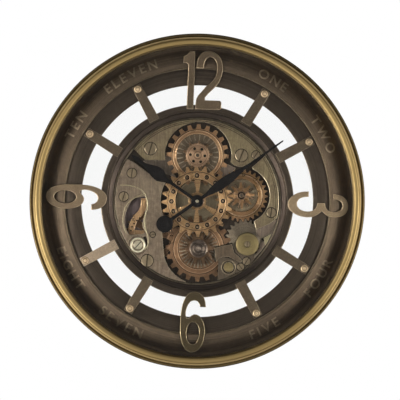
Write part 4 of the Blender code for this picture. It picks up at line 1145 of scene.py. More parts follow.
# The ring at 18.5 is a painted shadow around the disc's rim.
DISC_BRASS = Finish(
    "olive_disc_brass", "disc_brass", (0.215, 0.17, 0.08), (0.14, 0.11, 0.052), roughness=0.5,
    grain=Grain.TURNED, density=1500.0, bump=0.2, relief=0.12, cloud_scale=40.0, worn=(0.6, 0.53, 0.3),
    wear=0.8, marks=(RingMark(18.5, 0.9, 0.6),),
)
WHEEL_STEEL = Finish(
    "grey_wheel_steel", "wheel_steel", (0.28, 0.23, 0.165), (0.155, 0.127, 0.093), roughness=0.34,
    grain=Grain.TURNED, density=1300.0, bump=0.2, relief=0.5, cloud_scale=50.0, worn=(0.5, 0.44, 0.33),
    wear=0.8, grime=0.6, clean_depth=23.4, grimy_depth=21.4,
)
CAP_DARK = Finish(
    "dark_cap_bronze", "cap_dark", (0.1, 0.076, 0.06), (0.06, 0.045, 0.037), roughness=0.32,
    grain=Grain.TURNED, density=1700.0, bump=0.3, relief=0.5, cloud_scale=50.0, worn=(0.3, 0.24, 0.19),
    wear=0.7,
)
POST_STEEL = Finish(
    "bright_post_steel", "post_steel", (0.58, 0.55, 0.49), (0.38, 0.35, 0.3), metallic=0.95, roughness=0.26,
    grain=Grain.TURNED, density=2000.0, bump=0.06, cloud_scale=200.0, worn=(0.8, 0.77, 0.7), wear=0.4,
)
HAND_BLACK = Finish(
    "black_hand_enamel", "hand_black", (0.004, 0.0037, 0.0038), (0.007, 0.006, 0.0058), metallic=0.0,
    roughness=0.55, grain=Grain.CAST, density=600.0, bump=0.1, relief=0.05, cloud_scale=60.0,
    worn=(0.02, 0.018, 0.016), wear=0.6, specular=0.05, side_dirt=0.3,
)
CASE_PLASTIC = Finish(
    "black_case_plastic", "case_plastic", (0.02, 0.02, 0.021), (0.028, 0.028, 0.028), metallic=0.0,
    roughness=0.5, grain=Grain.MOULDED, density=1400.0, bump=0.12, cloud_scale=40.0, worn=(0.05, 0.05, 0.05),
    wear=0.3, side_dirt=0.2,
)
GEAR_PLASTIC = Finish(
    "ivory_gear_plastic", "gear_plastic", (0.7, 0.68, 0.6), (0.62, 0.6, 0.52), metallic=0.0, roughness=0.42,
    grain=Grain.MOULDED, density=900.0, bump=0.05, cloud_scale=60.0, worn=(0.8, 0.79, 0.74), wear=0.3,
    side_dirt=0.0,
)
CELL_WRAP = Finish(
    "dark_cell_wrap", "cell_wrap", (0.035, 0.05, 0.045), (0.02, 0.03, 0.027), metallic=0.2, roughness=0.3,
    grain=Grain.MOULDED, density=300.0, bump=0.03, cloud_scale=30.0, worn=(0.1, 0.11, 0.1), wear=0.2,
    side_dirt=0.0,
)
BACK_STEEL = Finish(
    "grey_back_paint", "back_steel", (0.06, 0.058, 0.055), (0.042, 0.04, 0.038), metallic=0.4, roughness=0.5,
    grain=Grain.CAST, density=900.0, bump=0.22, relief=0.35, cloud_scale=18.0, worn=(0.2, 0.19, 0.18),
    wear=0.5, side_dirt=0.2,
)
STUD_SILVER = Finish(
    "silvered_stud", "post_steel", (0.4, 0.365, 0.27), (0.24, 0.215, 0.16), metallic=0.9, roughness=0.45,
    grain=Grain.TURNED, density=1800.0, bump=0.15, relief=0.4, cloud_scale=90.0, worn=(0.58, 0.54, 0.4),
    wear=0.8,
)
CUP_DARK = toned(
    CAP_DARK, "dark_cup_bronze", (0.022, 0.017, 0.013), (0.015, 0.012, 0.01), worn=(0.3, 0.21, 0.13),
    wear=0.9,
)
OLIVE_FLOOR = toned(
    DISC_BRASS, "olive_floor_bronze", (0.26, 0.21, 0.135), (0.16, 0.128, 0.08), marks=(),
    worn=(0.3, 0.25, 0.16),
)
BEZEL_BRONZE = toned(
    RING_DARK, "bezel_bronze", (0.066, 0.051, 0.041), (0.042, 0.032, 0.027), relief=0.3, roughness=0.48,
    worn=(0.23, 0.19, 0.13), wear=0.75, marks=(RingMark(135.6, 1.5, 0.75), RingMark(143.6, 1.4, 0.75)),
)
BRIDGE_BRONZE = toned(
    PLATE_BRONZE, "warm_bridge_bronze", (0.36, 0.285, 0.2), (0.15, 0.11, 0.085), cloud_scale=15.0,
    cloud_amount=1.0, marks=(),
)
COCK_BRONZE = toned(
    PLATE_BRONZE, "cock_bronze", (0.165, 0.13, 0.092), (0.095, 0.074, 0.054), clean_depth=30.6,
    grimy_depth=27.0, marks=(),
)
COCK_RAISED = toned(COCK_BRONZE, "raised_cock_bronze", (0.19, 0.142, 0.096), (0.1, 0.075, 0.051))
WORD_BRONZE = toned(
    DISH_BRONZE, "raised_word_bronze", (0.2, 0.154, 0.104), (0.135, 0.102, 0.07), grain=Grain.CAST,
    density=700.0, grime=0.4, worn=(0.34, 0.27, 0.18), wear=0.8,
)
SCREW_BRONZE = toned(
    PLATE_BRONZE, "screw_bronze", (0.32, 0.255, 0.165), (0.2, 0.157, 0.1), marks=(), grime=0.0,
    cloud_scale=80.0, worn=(0.7, 0.6, 0.42),
)
RAIL_BRONZE = toned(BRIDGE_BRONZE, "corner_rail_bronze", (0.33, 0.26, 0.2), (0.19, 0.145, 0.115), grime=0.0)
BRIGHT_OLIVE = toned(
    PLATE_BRONZE, "bright_olive_bronze", (0.42, 0.37, 0.22), (0.3, 0.26, 0.15), marks=(), grime=0.0,
)
FIN_FLOOR = toned(
    OLIVE_FLOOR, "fin_floor_bronze", (0.14, 0.105, 0.07), (0.08, 0.06, 0.04), worn=(0.15, 0.11, 0.08),
)
MAUVE_FLOOR = toned(BASE_DARK, "mauve_floor_bronze", (0.12, 0.092, 0.088), (0.07, 0.054, 0.052), grime=0.0)
BAND_COPPER = toned(WHEEL_COPPER, "curved_band_copper", (0.38, 0.24, 0.125), (0.22, 0.135, 0.073), grime=0.0)
# Near-black sheets put where only shade falls: painted shade around screws and under raised pieces.
SINK_DARK = toned(BASE_DARK, "screw_sink_dark", (0.02, 0.016, 0.012), (0.012, 0.01, 0.008), wear=0.0)


# Geometry Nodes


class PatternTrees:
    """Geometry Nodes trees for what repeats: pieces around a ring and scattered screws."""

    def __init__(self) -> None:
        """Build both trees."""
        self.ring = self.build_ring()
        self.scatter = self.build_scatter()

    def start(self, name: str, inputs: Sequence[tuple[str, str]]) -> NodeSketch:
        """Start a geometry tree with named inputs and one geometry output.

        Args:
            name: the tree's name.
            inputs: label and socket type of each input.

        Returns:
            The sketch for the tree's nodes.
        """
        tree = bpy.data.node_groups.new(name, "GeometryNodeTree")
        tree.interface.new_socket(name="Geometry", in_out="INPUT", socket_type=GEOMETRY)
        for label, kind in inputs:
            tree.interface.new_socket(name=label, in_out="INPUT", socket_type=kind)
        tree.interface.new_socket(name="Geometry", in_out="OUTPUT", socket_type=GEOMETRY)
        return NodeSketch(tree)

    def finish(self, sketch: NodeSketch, instances: Socket, material: Socket) -> None:
        """End a tree in Realize Instances and Set Material.

        Args:
            sketch: the tree's nodes.
            instances: the copies to make real.
            material: the material that they take.
        """
        real = sketch.add("GeometryNodeRealizeInstances", Geometry=instances)
        coated = sketch.add("GeometryNodeSetMaterial", Geometry=real.outputs[0], Material=material)
        out = sketch.add("NodeGroupOutput")
        sketch.feed(out.inputs["Geometry"], coated.outputs[0])

    def build_ring(self) -> Tree:
        """Repeat the given shape around an axis, each copy turned to point outward.

        Returns:
            The geometry tree.
        """
        sketch = self.start(
            "shapes_around_axis",
            [
                ("Count", COUNT), ("Radius", FLOAT), ("Start Angle", FLOAT), ("Skip Every", COUNT),
                ("Centre", VECTOR), ("Material", MATERIAL),
            ],
        )
        given = sketch.add("NodeGroupInput").outputs
        index = sketch.add("GeometryNodeInputIndex").outputs[0]
        share = sketch.math("DIVIDE", index, given["Count"])
        angle = sketch.math("ADD", sketch.math("MULTIPLY", share, 2 * math.pi), given["Start Angle"])
        across = sketch.math("MULTIPLY", sketch.math("SINE", angle), given["Radius"])
        upward = sketch.math("MULTIPLY", sketch.math("COSINE", angle), given["Radius"])
        ring = sketch.add("ShaderNodeCombineXYZ", X=across, Z=upward)
        moved = sketch.add("ShaderNodeVectorMath")
        moved.operation = "ADD"
        spot = sketch.in_order(moved, ring.outputs[0], given["Centre"])
        points = sketch.add("GeometryNodePoints", Count=given["Count"], Position=spot)
        every = sketch.math("MAXIMUM", given["Skip Every"], 1.0)
        rest = sketch.math("MODULO", index, every)
        all_stay = sketch.math("LESS_THAN", given["Skip Every"], 0.5)
        kept = sketch.math("GREATER_THAN", sketch.math("ADD", rest, all_stay), 0.5)
        turn = sketch.add("ShaderNodeCombineXYZ", Y=angle)
        copies = sketch.add(
            "GeometryNodeInstanceOnPoints", Points=points.outputs[0], Selection=kept,
            Instance=given["Geometry"], Rotation=turn.outputs[0],
        )
        self.finish(sketch, copies.outputs[0], given["Material"])
        return sketch.tree

    def build_scatter(self) -> Tree:
        """Set a shape on each given point, sized and turned by the point's attributes.

        Returns:
            The geometry tree.
        """
        sketch = self.start("screws_on_points", [("Shape", SHAPE), ("Material", MATERIAL)])
        given = sketch.add("NodeGroupInput").outputs
        shape = sketch.add("GeometryNodeObjectInfo")
        sketch.feed(shape.inputs["Object"], given["Shape"])
        named = []
        for label in ("head_radius", "slot_turn"):
            attribute = sketch.add("GeometryNodeInputNamedAttribute")
            attribute.data_type = "FLOAT"
            attribute.inputs["Name"].default_value = label
            named.append(next(o for o in attribute.outputs if o.type == "VALUE" and o.enabled))
        size = sketch.add("ShaderNodeCombineXYZ", X=named[0], Y=1.0, Z=named[0])
        turn = sketch.add("ShaderNodeCombineXYZ", Y=named[1])
        copies = sketch.add(
            "GeometryNodeInstanceOnPoints", Points=given["Geometry"], Instance=shape.outputs["Geometry"],
            Rotation=turn.outputs[0], Scale=size.outputs[0],
        )
        self.finish(sketch, copies.outputs[0], given["Material"])
        return sketch.tree

    def run(self, tree: Tree, source: Mesh, name: str, **inputs: object) -> Mesh:
        """Run a tree on a mesh and give the plain result.

        Args:
            tree: the geometry tree.
            source: the mesh it starts from.
            name: name of the result.
            inputs: the tree's inputs by label, with spaces written as underscores.

        Returns:
            The realised mesh.
        """
        piece = link(source, name + "_pattern")
        modifier = piece.modifiers.new("pattern", "NODES")
        modifier.node_group = tree
        sockets = {item.name: item.identifier for item in tree.interface.items_tree if item.in_out == "INPUT"}
        for label, value in inputs.items():
            modifier[sockets[label.replace("_", " ")]] = value
        mesh = evaluated_mesh(piece)
        mesh.name = name
        return mesh


# Sub-assemblies


@dataclass
class SubAssembly:
    """A part of the clock that makes its pieces, finishes them and sets them on the frame."""

    shop: FinishShop
    trees: PatternTrees

    def hang(
        self, mesh: Mesh, name: str, finish: Finish, body: str = CASE, stands_for: Sequence[str] = (),
        centre: Point = (0.0, 0.0),
    ) -> Piece:
        """Make a piece of a mesh, finish it and set it on its body.

        Args:
            mesh: the finished mesh in its place.
            name: the piece's name.
            finish: its finish.
            body: the body that it moves with.
            stands_for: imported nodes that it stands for.
            centre: the axis of its turned grain.

        Returns:
            The piece.
        """
        mesh.materials.clear()
        mesh.materials.append(self.shop.material(finish, centre))
        piece = link(mesh, name)
        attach(piece, body)
        if stands_for:
            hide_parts(*stands_for)
        LOG.info("%s: %d faces on %s", name, len(mesh.polygons), body)
        return piece

    def refine(
        self, node: str, finish: Finish, bevel: float, body: str = CASE, centre: Point = (0.0, 0.0),
    ) -> None:
        """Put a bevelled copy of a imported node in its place."""
        self.hang(refined(node, bevel), node + "_metalwork", finish, body, (node,), centre)

    def around(
        self, name: str, count: int, centre: Point, shape: Mesh, finish: Finish, start: float = 0.0,
        radius: float = 0.0, skip_every: int = 0,
    ) -> Mesh:
        """Repeat a shape around an axis.

        Args:
            name: the result's name.
            count: how many places there are.
            centre: the axis.
            shape: the mesh to repeat.
            finish: the copies' finish.
            start: angle of the first place in degrees.
            radius: how far out the shape is moved.
            skip_every: every such place stays empty, or 0 for none.

        Returns:
            The copies as one mesh.
        """
        return self.trees.run(
            self.trees.ring, shape, name, Count=count, Radius=radius * MM, Start_Angle=math.radians(start),
            Skip_Every=skip_every, Centre=(centre[0] * MM, 0.0, centre[1] * MM),
            Material=self.shop.material(finish, centre),
        )

    def paint(self, node: str, finish: Finish, centre: Point = (0.0, 0.0)) -> None:
        """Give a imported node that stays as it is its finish."""
        self.coat(node, self.shop.material(finish, centre))

    def coat(self, node: str, material: Material) -> None:
        """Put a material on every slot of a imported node.

        Args:
            node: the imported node.
            material: its new material.
        """
        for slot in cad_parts[node].material_slots:
            slot.material = material
        LOG.info("%s: carried over", node)


@dataclass
class OuterCase(SubAssembly):
    """The heavy rim with its bead and roll, the glass and the ring behind it."""

    rim_radius: float = 270.0
    bead_radius: float = 2.6
    bead_depth: float = 47.4
    crest_radius: float = 257.4
    crest_depth: float = 62.0
    lip_radius: float = 249.8
    groove_radius: float = 260.4
    segments: int = 224

    def rim_profile(self) -> Loop:
        """Give the rim's section: wall, bead, groove, roll with its fine line, and lip.

        Returns:
            The closed (radius, depth) section.
        """
        bead_centre = self.rim_radius - self.bead_radius
        section: Loop = [(267.5, 0.0), (269.7, 40.0)]
        for step in range(9):
            turn = math.radians(-10.0 + 190.0 * step / 8)
            out, forward = self.bead_radius * math.cos(turn), self.bead_radius * math.sin(turn)
            section.append((bead_centre + out, self.bead_depth + forward))
        groove = self.rim_radius - 2.0 * self.bead_radius
        section += [(groove - 0.1, 46.4), (groove - 0.3, 48.6)]
        outer_width, inner_width = groove - 0.4 - self.crest_radius, self.crest_radius - self.lip_radius
        for step in range(1, 12):
            turn = math.radians(90.0 * step / 12)
            radius = self.crest_radius + outer_width * math.cos(turn)
            depth = 50.0 + (self.crest_depth - 50.0) * math.sin(turn)
            section.append((radius, depth))
        for step in range(0, 9):
            turn = math.radians(90.0 + 90.0 * step / 8)
            section.append((self.crest_radius + inner_width * math.cos(turn), 56.0 + 6.0 * math.sin(turn)))
        section = self.with_fine_line(section)
        section += [(249.8, 55.0), (254.0, 55.0), (254.0, 24.0), (257.0, 24.0), (257.0, 57.5)]
        section += [(261.0, 55.0), (263.0, 45.0), (264.5, 0.0)]
        return section

    def with_fine_line(self, section: Loop) -> Loop:
        """Sink a fine line into the outer flank of the roll.

        Args:
            section: the rim's section.

        Returns:
            The section with the line in it.
        """
        result: Loop = []
        for before, after in zip(section, section[1:] + section[:1]):
            result.append(before)
            if before[0] > self.groove_radius >= after[0] and before[1] > 50.0:
                share = (before[0] - self.groove_radius) / (before[0] - after[0])
                depth = before[1] + (after[1] - before[1]) * share
                result += [
                    (self.groove_radius + 0.5, depth - 0.3),
                    (self.groove_radius + 0.1, depth - 0.9),
                    (self.groove_radius - 0.4, depth + 0.1),
                ]
        return result

    def dress(self) -> None:
        """Build the rim and finish the glass and its ring."""
        rim = turned(
            "rim_turning", self.rim_profile(), segments=self.segments, worn=[(255.0, 259.5), (266.4, 268.8)],
        )
        self.hang(rim, "rim_roll_and_bead", RIM_GOLD, stands_for=("rim_case",))
        self.coat("front_glass", self.shop.glass())
        self.paint("glass_retainer", RING_DARK)


@dataclass
class DialRings(SubAssembly):
    """The sloping chapter ring with its words, and the flat ring inside it."""

    slope: tuple[Point, ...] = (
        (246.0, 23.7), (242.6, 25.5), (238.4, 28.4), (232.0, 32.0), (225.0, 35.0), (219.5, 36.3),
        (216.4, 36.6),
    )
    lip: tuple[Point, ...] = (
        (215.9, 36.2), (215.3, 36.8), (214.9, 37.0), (214.0, 37.0), (213.5, 36.6), (213.5, 33.3),
    )
    under: tuple[Point, ...] = ((218.2, 33.3), (224.6, 31.9), (232.0, 28.6), (238.4, 24.8), (243.6, 21.2))
    letter_height: float = 16.2
    capital_share: float = 0.729
    letter_gap: float = 5.1
    letter_middle: float = 232.2
    relief: float = 0.85
    segments: int = 224
    words: tuple[tuple[str, float, TopsFacing], ...] = (
        ("ONE", 30.0, TopsFacing.OUTWARD),
        ("TWO", 60.0, TopsFacing.OUTWARD),
        ("FOUR", 120.0, TopsFacing.INWARD),
        ("FIVE", 150.0, TopsFacing.INWARD),
        ("SEVEN", 210.0, TopsFacing.INWARD),
        ("EIGHT", 240.0, TopsFacing.INWARD),
        ("TEN", 300.0, TopsFacing.OUTWARD),
        ("ELEVEN", 330.0, TopsFacing.OUTWARD),
    )

    def slope_depth(self, radius: float) -> float:
        """Give the depth of the slope's surface at a radius.

        Args:
            radius: the radius in millimetres.

        Returns:
            The depth in millimetres.
        """
        for (outer, low), (inner, high) in zip(self.slope, self.slope[1:]):
            if inner <= radius <= outer:
                return low + (high - low) * (outer - radius) / (outer - inner)
        return self.slope[0][1] if radius > self.slope[0][0] else self.slope[-1][1]

    def letter(self, character: str) -> Mesh:
        """Make one raised capital, its foot on the base line and its left edge at zero.

        Args:
            character: the capital.

        Returns:
            Its mesh, in millimetres.
        """
        curve = bpy.data.curves.new("dial_letter", "FONT")
        curve.body = character
        curve.size = self.letter_height / self.capital_share
        curve.offset = 0.28
        curve.extrude = self.relief
        curve.bevel_depth = 0.18
        curve.bevel_resolution = 1
        curve.resolution_u = 5
        mesh = evaluated_mesh(link(curve, "letter_" + character))
        left = min(vertex.co.x for vertex in mesh.vertices)
        mesh.transform(Matrix.Translation((-left, 0.0, 0.0)))
        return mesh

    def word_mesh(self, word: str, clock_degrees: float, tops: TopsFacing) -> Mesh:
        """Lay a word along the slope.

        Args:
            word: the word to lay.
            clock_degrees: where its middle stands.
            tops: which way its letters' heads point.

        Returns:
            The raised word in its place.
        """
        letters = [self.letter(character) for character in word]
        widths = [max(vertex.co.x for vertex in mesh.vertices) for mesh in letters]
        total = sum(widths) + self.letter_gap * (len(word) - 1)
        start = -total / 2
        for mesh, width in zip(letters, widths):
            for vertex in mesh.vertices:
                along = start + vertex.co.x
                rise = (vertex.co.y - self.letter_height / 2) * tops.value
                radius = self.letter_middle + rise * 0.95
                turn = clock_degrees + math.degrees(along / self.letter_middle) * tops.value
                x, z = polar(radius, turn)
                vertex.co = place(x, self.slope_depth(radius) + vertex.co.z, z)
            start += width + self.letter_gap
        return closed(joined("dial_word", letters), "dial_word", 30.0)

    def dress(self) -> None:
        """Build both rings and the words."""
        section = [(262.8, 21.2), (262.8, 23.7)] + list(self.slope) + list(self.lip) + list(self.under)
        ring = turned("chapter_turning", section, segments=self.segments, worn=[(213.4, 215.4)])
        self.hang(ring, "chapter_ring_slope", DISH_BRONZE, stands_for=("chapter_ring",))
        flat = filleted([(187.0, 31.0), (217.0, 31.0), (217.0, 33.0), (187.0, 33.0)], 0.5, 2)
        inner = turned("inner_turning", flat, segments=self.segments, worn=[(186.0, 187.6)])
        self.hang(inner, "inner_flat_ring", RING_DARK, stands_for=("inner_ring",))
        for word, turn, tops in self.words:
            self.hang(self.word_mesh(word, turn, tops), "dial_word_" + word.lower(), WORD_BRONZE)


@dataclass
class FiguresAndSpokes(SubAssembly):
    """The four large figures, the eight spokes and their rivets."""

    figure_front: float = 40.1
    figure_back: float = 37.1
    figure_bevel: float = 0.75
    foot_radius: float = 2.6
    foot_circle: float = 152.5
    spoke_back: float = 33.3
    spoke_front: float = 36.3
    spoke_bevel: float = 0.5
    rivet_circle: float = 204.5
    figures: tuple[tuple[str, float, float], ...] = (
        ("numeral_12_one", 0.0, -17.0),
        ("numeral_12_two", 0.0, 12.0),
        ("numeral_3", 90.0, -1.0),
        ("numeral_6", 180.0, -2.0),
        ("numeral_9", 270.0, -2.0),
    )
    spoke_hours: tuple[int, ...] = (1, 2, 4, 5, 7, 8, 10, 11)
    bright_hour: int = 8

    def figure(self, node: str, clock_degrees: float, foot_offset: float) -> Mesh:
        """Cut one figure with smooth curves and bevelled edges, and its foot behind it.

        Args:
            node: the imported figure.
            clock_degrees: where it stands.
            foot_offset: how far its foot stands aside.

        Returns:
            The figure with its foot.
        """
        loops = front_loops(node, self.figure_front)
        if node != "numeral_12_one":
            loops = [smoothed(loop) for loop in loops]
        face = cut_sheet(node + "_face", loops, self.figure_back, self.figure_front, self.figure_bevel)
        outward = polar(self.foot_circle, clock_degrees)
        aside = polar(foot_offset, clock_degrees + 90.0)
        foot_profile = [(0.0, self.spoke_back), (self.foot_radius, self.spoke_back)]
        foot_profile += [(self.foot_radius, self.figure_back + 0.5), (0.0, self.figure_back + 0.5)]
        centre = (outward[0] + aside[0], outward[1] + aside[1])
        foot = turned(node + "_foot", foot_profile, centre, 24)
        return joined(node + "_cut", (face, foot))

    def rivet(self) -> Mesh:
        """Turn one rivet with a domed head and a groove around its centre.

        Returns:
            The rivet on the axis.
        """
        head = self.spoke_front + 0.3
        profile = [
            (0.0, head + 1.9), (1.8, head + 1.85), (2.6, head + 1.6), (2.9, head + 0.8), (3.8, head + 0.8),
            (4.1, head + 1.4), (5.4, head + 1.15), (6.2, head + 0.5), (6.4, head), (3.0, head), (3.0, 30.7),
            (4.8, 30.7), (4.4, 29.9), (2.4, 29.3), (0.0, 29.2),
        ]
        return turned("rivet_turning", profile, segments=28, worn=[(0.0, 2.7), (4.2, 5.6)])

    def dress(self) -> None:
        """Build the figures, the spokes and the ring of rivets."""
        for node, turn, foot in self.figures:
            self.hang(
                self.figure(node, turn, foot), node + "_figure", FIGURE_FINISHES[node], stands_for=(node,),
            )
        for hour in self.spoke_hours:
            node = f"spoke_{hour:02d}"
            outline = max(front_loops(node, self.spoke_front), key=spread)
            mesh = cut_sheet(
                node, [filleted(outline, 1.2, 2)], self.spoke_back, self.spoke_front, self.spoke_bevel,
            )
            # The spoke at eight o'clock takes the lit copy: painted light.
            finish = BRIGHT_SPOKE if hour == self.bright_hour else SPOKE_BRONZE
            self.hang(mesh, node + "_bar", finish, stands_for=(node,))
        rivets = self.around(
            "spoke_rivets", 12, (0.0, 0.0), self.rivet(), RIVET_BRASS, radius=self.rivet_circle, skip_every=3,
        )
        nodes = tuple(f"rivet_{hour:02d}" for hour in self.spoke_hours)
        self.hang(rivets, "spoke_rivets", RIVET_BRASS, stands_for=nodes)


@dataclass
class Drum(SubAssembly):
    """The drum's wall and bezel, the base plate, and the fixed plates over the wheels."""

    wall_radius: float = 155.8
    flange_inner: float = 144.8
    front: float = 33.0
    plate_bevel: float = 0.7
    segments: int = 160

    def wall_profile(self) -> Loop:
        """Give the drum wall's section with a rounded front edge.

        Returns:
            The closed (radius, depth) section.
        """
        corners = [
            (self.wall_radius, 0.0), (self.wall_radius, self.front), (self.flange_inner, self.front),
            (self.flange_inner, 30.5), (153.3, 30.5), (153.3, 0.0),
        ]
        return filleted(corners, 1.1, 4)

    def bezel_profile(self) -> Loop:
        """Give the bezel's section: a step, a hollow slope and a rounded bright lip."""
        return [
            (152.8, 21.3), (152.8, 30.2), (144.5, 30.2), (144.5, 32.2), (144.2, 32.5), (143.6, 32.5),
            (143.0, 32.1), (140.0, 29.6), (137.0, 27.6), (135.8, 27.3), (135.2, 27.8), (134.3, 28.3),
            (133.4, 28.1), (132.8, 27.5), (132.7, 26.0), (138.0, 26.0), (138.0, 21.3),
        ]

    def dress(self) -> None:
        """Build the drum and dress its plates."""
        wall = turned("drum_turning", self.wall_profile(), segments=self.segments, worn=[(154.6, 155.9)])
        self.hang(wall, "drum_wall", RING_DARK, stands_for=("drum_case",))
        bezel = turned("bezel_turning", self.bezel_profile(), segments=self.segments, worn=[(132.6, 135.3)])
        self.hang(bezel, "drum_bezel_turned", BEZEL_BRONZE, stands_for=("drum_bezel",))
        self.refine("base_plate", BASE_DARK, 0.3)
        for node in ("plate_upper_left", "plate_upper_right", "plate_right"):
            self.refine(node, PLATE_BRONZE, self.plate_bevel)
        self.refine("bridge_left", BRIDGE_BRONZE, self.plate_bevel)
        self.refine("cock_lower_right", COCK_BRONZE, 0.5)
        self.refine("drum_back_cover", BACK_STEEL, 0.3)
        self.refine("hanger_bracket", BACK_STEEL, 0.3)


@dataclass
class WheelTrain(SubAssembly):
    """The turning wheels, with finer rims, pleats, spider and caps."""

    top: Point = (-1.9436, 74.2246)
    right: Point = (71.023, 11.8215)
    bottom: Point = (5.0698, -76.3318)
    side: Point = (-70.513, -57.066)
    grey: Point = (79.578, -57.855)
    tooth_bevel: float = 0.42

    def bar(
        self, inner: float, outer: float, half_in: float, half_out: float, back: float, front: float,
    ) -> Mesh:
        """Cut one bar that points up from the axis.

        Args:
            inner: radius where it starts.
            outer: radius where it ends.
            half_in: half its width at the start.
            half_out: half its width at the end.
            back: depth of its back.
            front: depth of its front.

        Returns:
            The bar's mesh.
        """
        outline = [(half_in, inner), (half_out, outer), (-half_out, outer), (-half_in, inner)]
        return cut_sheet("wheel_bar", [outline], back, front, min(0.12, half_in * 0.3), 1)

    def ring_line(
        self, name: str, inner: float, outer: float, base: float, height: float, centre: Point,
    ) -> Mesh:
        """Turn one thin raised ring that stands on a wheel's face.

        Args:
            name: the mesh's name.
            inner: inner radius.
            outer: outer radius.
            base: depth of the wheel's face.
            height: how far the ring stands up.
            centre: the wheel's axis.

        Returns:
            The ring's mesh.
        """
        low, high = base - 0.3, base + height
        profile = filleted([(inner, low), (outer, low), (outer, high), (inner, high)], 0.25, 2)
        return turned(name, profile, centre, 96, worn=[(inner, outer)])

    def dress_centre(self) -> None:
        """Dress the centre wheel, its drilled ring with its cups, its sleeve and the floor behind it."""
        self.refine("centre_wheel", LEAD_GOLD, self.tooth_bevel, "centre_train")
        loops = [circle(46.5, count=120), circle(35.6, count=96)]
        for index in range(16):
            loops.append(circle(3.9, polar(41.6, 87.5 - 22.5 * index), 20))
        ring = cut_sheet("drilled_ring", loops, 31.7, 33.4, 0.35)
        self.hang(ring, "centre_ring_drilled", LEAD_GOLD, "centre_train", ("centre_drilled_ring",))
        section = [(0.0, 31.5), (3.7, 31.5), (3.7, 31.8), (2.0, 31.8), (1.9, 32.7), (1.4, 32.9), (0.0, 32.9)]
        cup = turned("cup", section, segments=20, worn=[(0.0, 1.95)])
        cups = self.around("drilled_ring_cups", 16, (0.0, 0.0), cup, CUP_DARK, 87.5, 41.6)
        self.hang(cups, "centre_ring_cups", CUP_DARK, "centre_train")
        sleeve = filleted(
            [(4.3, 21.3), (8.0, 21.3), (8.0, 31.7), (10.5, 31.7), (10.5, 34.7), (4.3, 34.7)], 0.5, 3,
        )
        nut = turned("sleeve", sleeve, segments=48)
        self.hang(nut, "centre_nut_turned", CAP_DARK, stands_for=("centre_sleeve_nut",))
        floor = [
            (9.0, 21.3), (34.0, 21.3), (34.0, 22.2), (32.6, 22.2), (32.2, 21.8), (13.0, 21.8), (12.6, 22.4),
            (9.0, 22.4),
        ]
        plate = turned("floor", floor, worn=[(32.0, 34.0), (9.0, 13.0)])
        self.hang(plate, "centre_floor_plate", OLIVE_FLOOR)

    def dress_top(self) -> None:
        """Dress the top wheel with its fine rings and fins, and its six-hole disc."""
        self.refine("top_wheel", TOP_COPPER, self.tooth_bevel, "top_train", self.top)
        lines = [
            self.ring_line("outer_line", 39.2, 40.3, 27.2, 0.35, self.top),
            self.ring_line("inner_line", 35.0, 35.9, 27.2, 0.35, self.top),
        ]
        rings = joined("top_lines", lines)
        self.hang(rings, "top_wheel_rings", TOP_COPPER, "top_train", centre=self.top)
        sheet = turned("floor", [(20.0, 25.6), (34.2, 25.6), (34.2, 25.95), (20.0, 25.95)], self.top, 72)
        self.hang(sheet, "top_wheel_floor", FIN_FLOOR, "top_train", centre=self.top)
        fin = self.bar(24.4, 33.4, 0.6, 1.1, 25.9, 27.2)
        fins = self.around("top_wheel_fins", 24, self.top, fin, FIN_GREY, 4.0)
        self.hang(fins, "top_wheel_fins", FIN_GREY, "top_train", centre=self.top)
        teeth = []
        for index in range(52):
            teeth.append(polar(19.9 - 1.6 * (index % 2), 360.0 / 52 * index, self.top))
        loops = [teeth, circle(2.9, self.top, 24)]
        for index in range(6):
            loops.append(circle(2.4, polar(11.7, 93.0 - 60.0 * index, self.top), 20))
        disc = cut_sheet("six_hole", loops, 31.7, 33.4, 0.25)
        section = filleted([(3.1, 33.3), (4.2, 33.3), (4.2, 34.3), (3.1, 34.3)], 0.25, 2)
        collar = turned("collar", section, self.top, 36, worn=[(3.0, 4.3)])
        self.hang(
            joined("six_hole_disc", (disc, collar)), "top_disc_six_holes", DISC_COPPER, "top_train",
            ("top_six_hole_disc",), self.top,
        )
        # A dark sheet behind the disc: painted shade that shows through its holes.
        backing = turned("backing", [(2.9, 31.45), (17.0, 31.45), (17.0, 31.65), (2.9, 31.65)], self.top, 48)
        self.hang(backing, "top_disc_backing", SINK_DARK, "top_train", centre=self.top)

    def dress_right(self) -> None:
        """Dress the right wheel with its thin spider, and the grey wheel under it."""
        self.refine("right_wheel", RIGHT_COPPER, self.tooth_bevel, "right_train", self.right)
        arm = self.bar(6.0, 20.6, 1.1, 0.7, 31.45, 32.1)
        arms = self.around("right_wheel_spider", 8, self.right, arm, DISC_COPPER, 12.0)
        sheet = turned("floor", [(8.0, 23.6), (25.8, 23.6), (25.8, 24.0), (8.0, 24.0)], self.right, 72)
        self.hang(sheet, "right_wheel_floor", OLIVE_FLOOR, "right_train", centre=self.right)
        section = filleted([(4.6, 31.45), (7.2, 31.45), (7.2, 32.6), (4.6, 32.6)], 0.3, 2)
        hub = turned("spider_hub", section, self.right, 40)
        section = [(0.0, 31.5), (3.4, 31.5), (3.4, 32.2), (2.8, 32.6), (0.0, 32.7)]
        pin = turned("spider_pin", section, self.right, 32)
        line = self.ring_line("rim_line", 32.6, 33.8, 27.2, 0.35, self.right)
        star = joined("spider", (arms, hub, pin, line))
        self.hang(star, "right_wheel_star", DISC_COPPER, "right_train", centre=self.right)
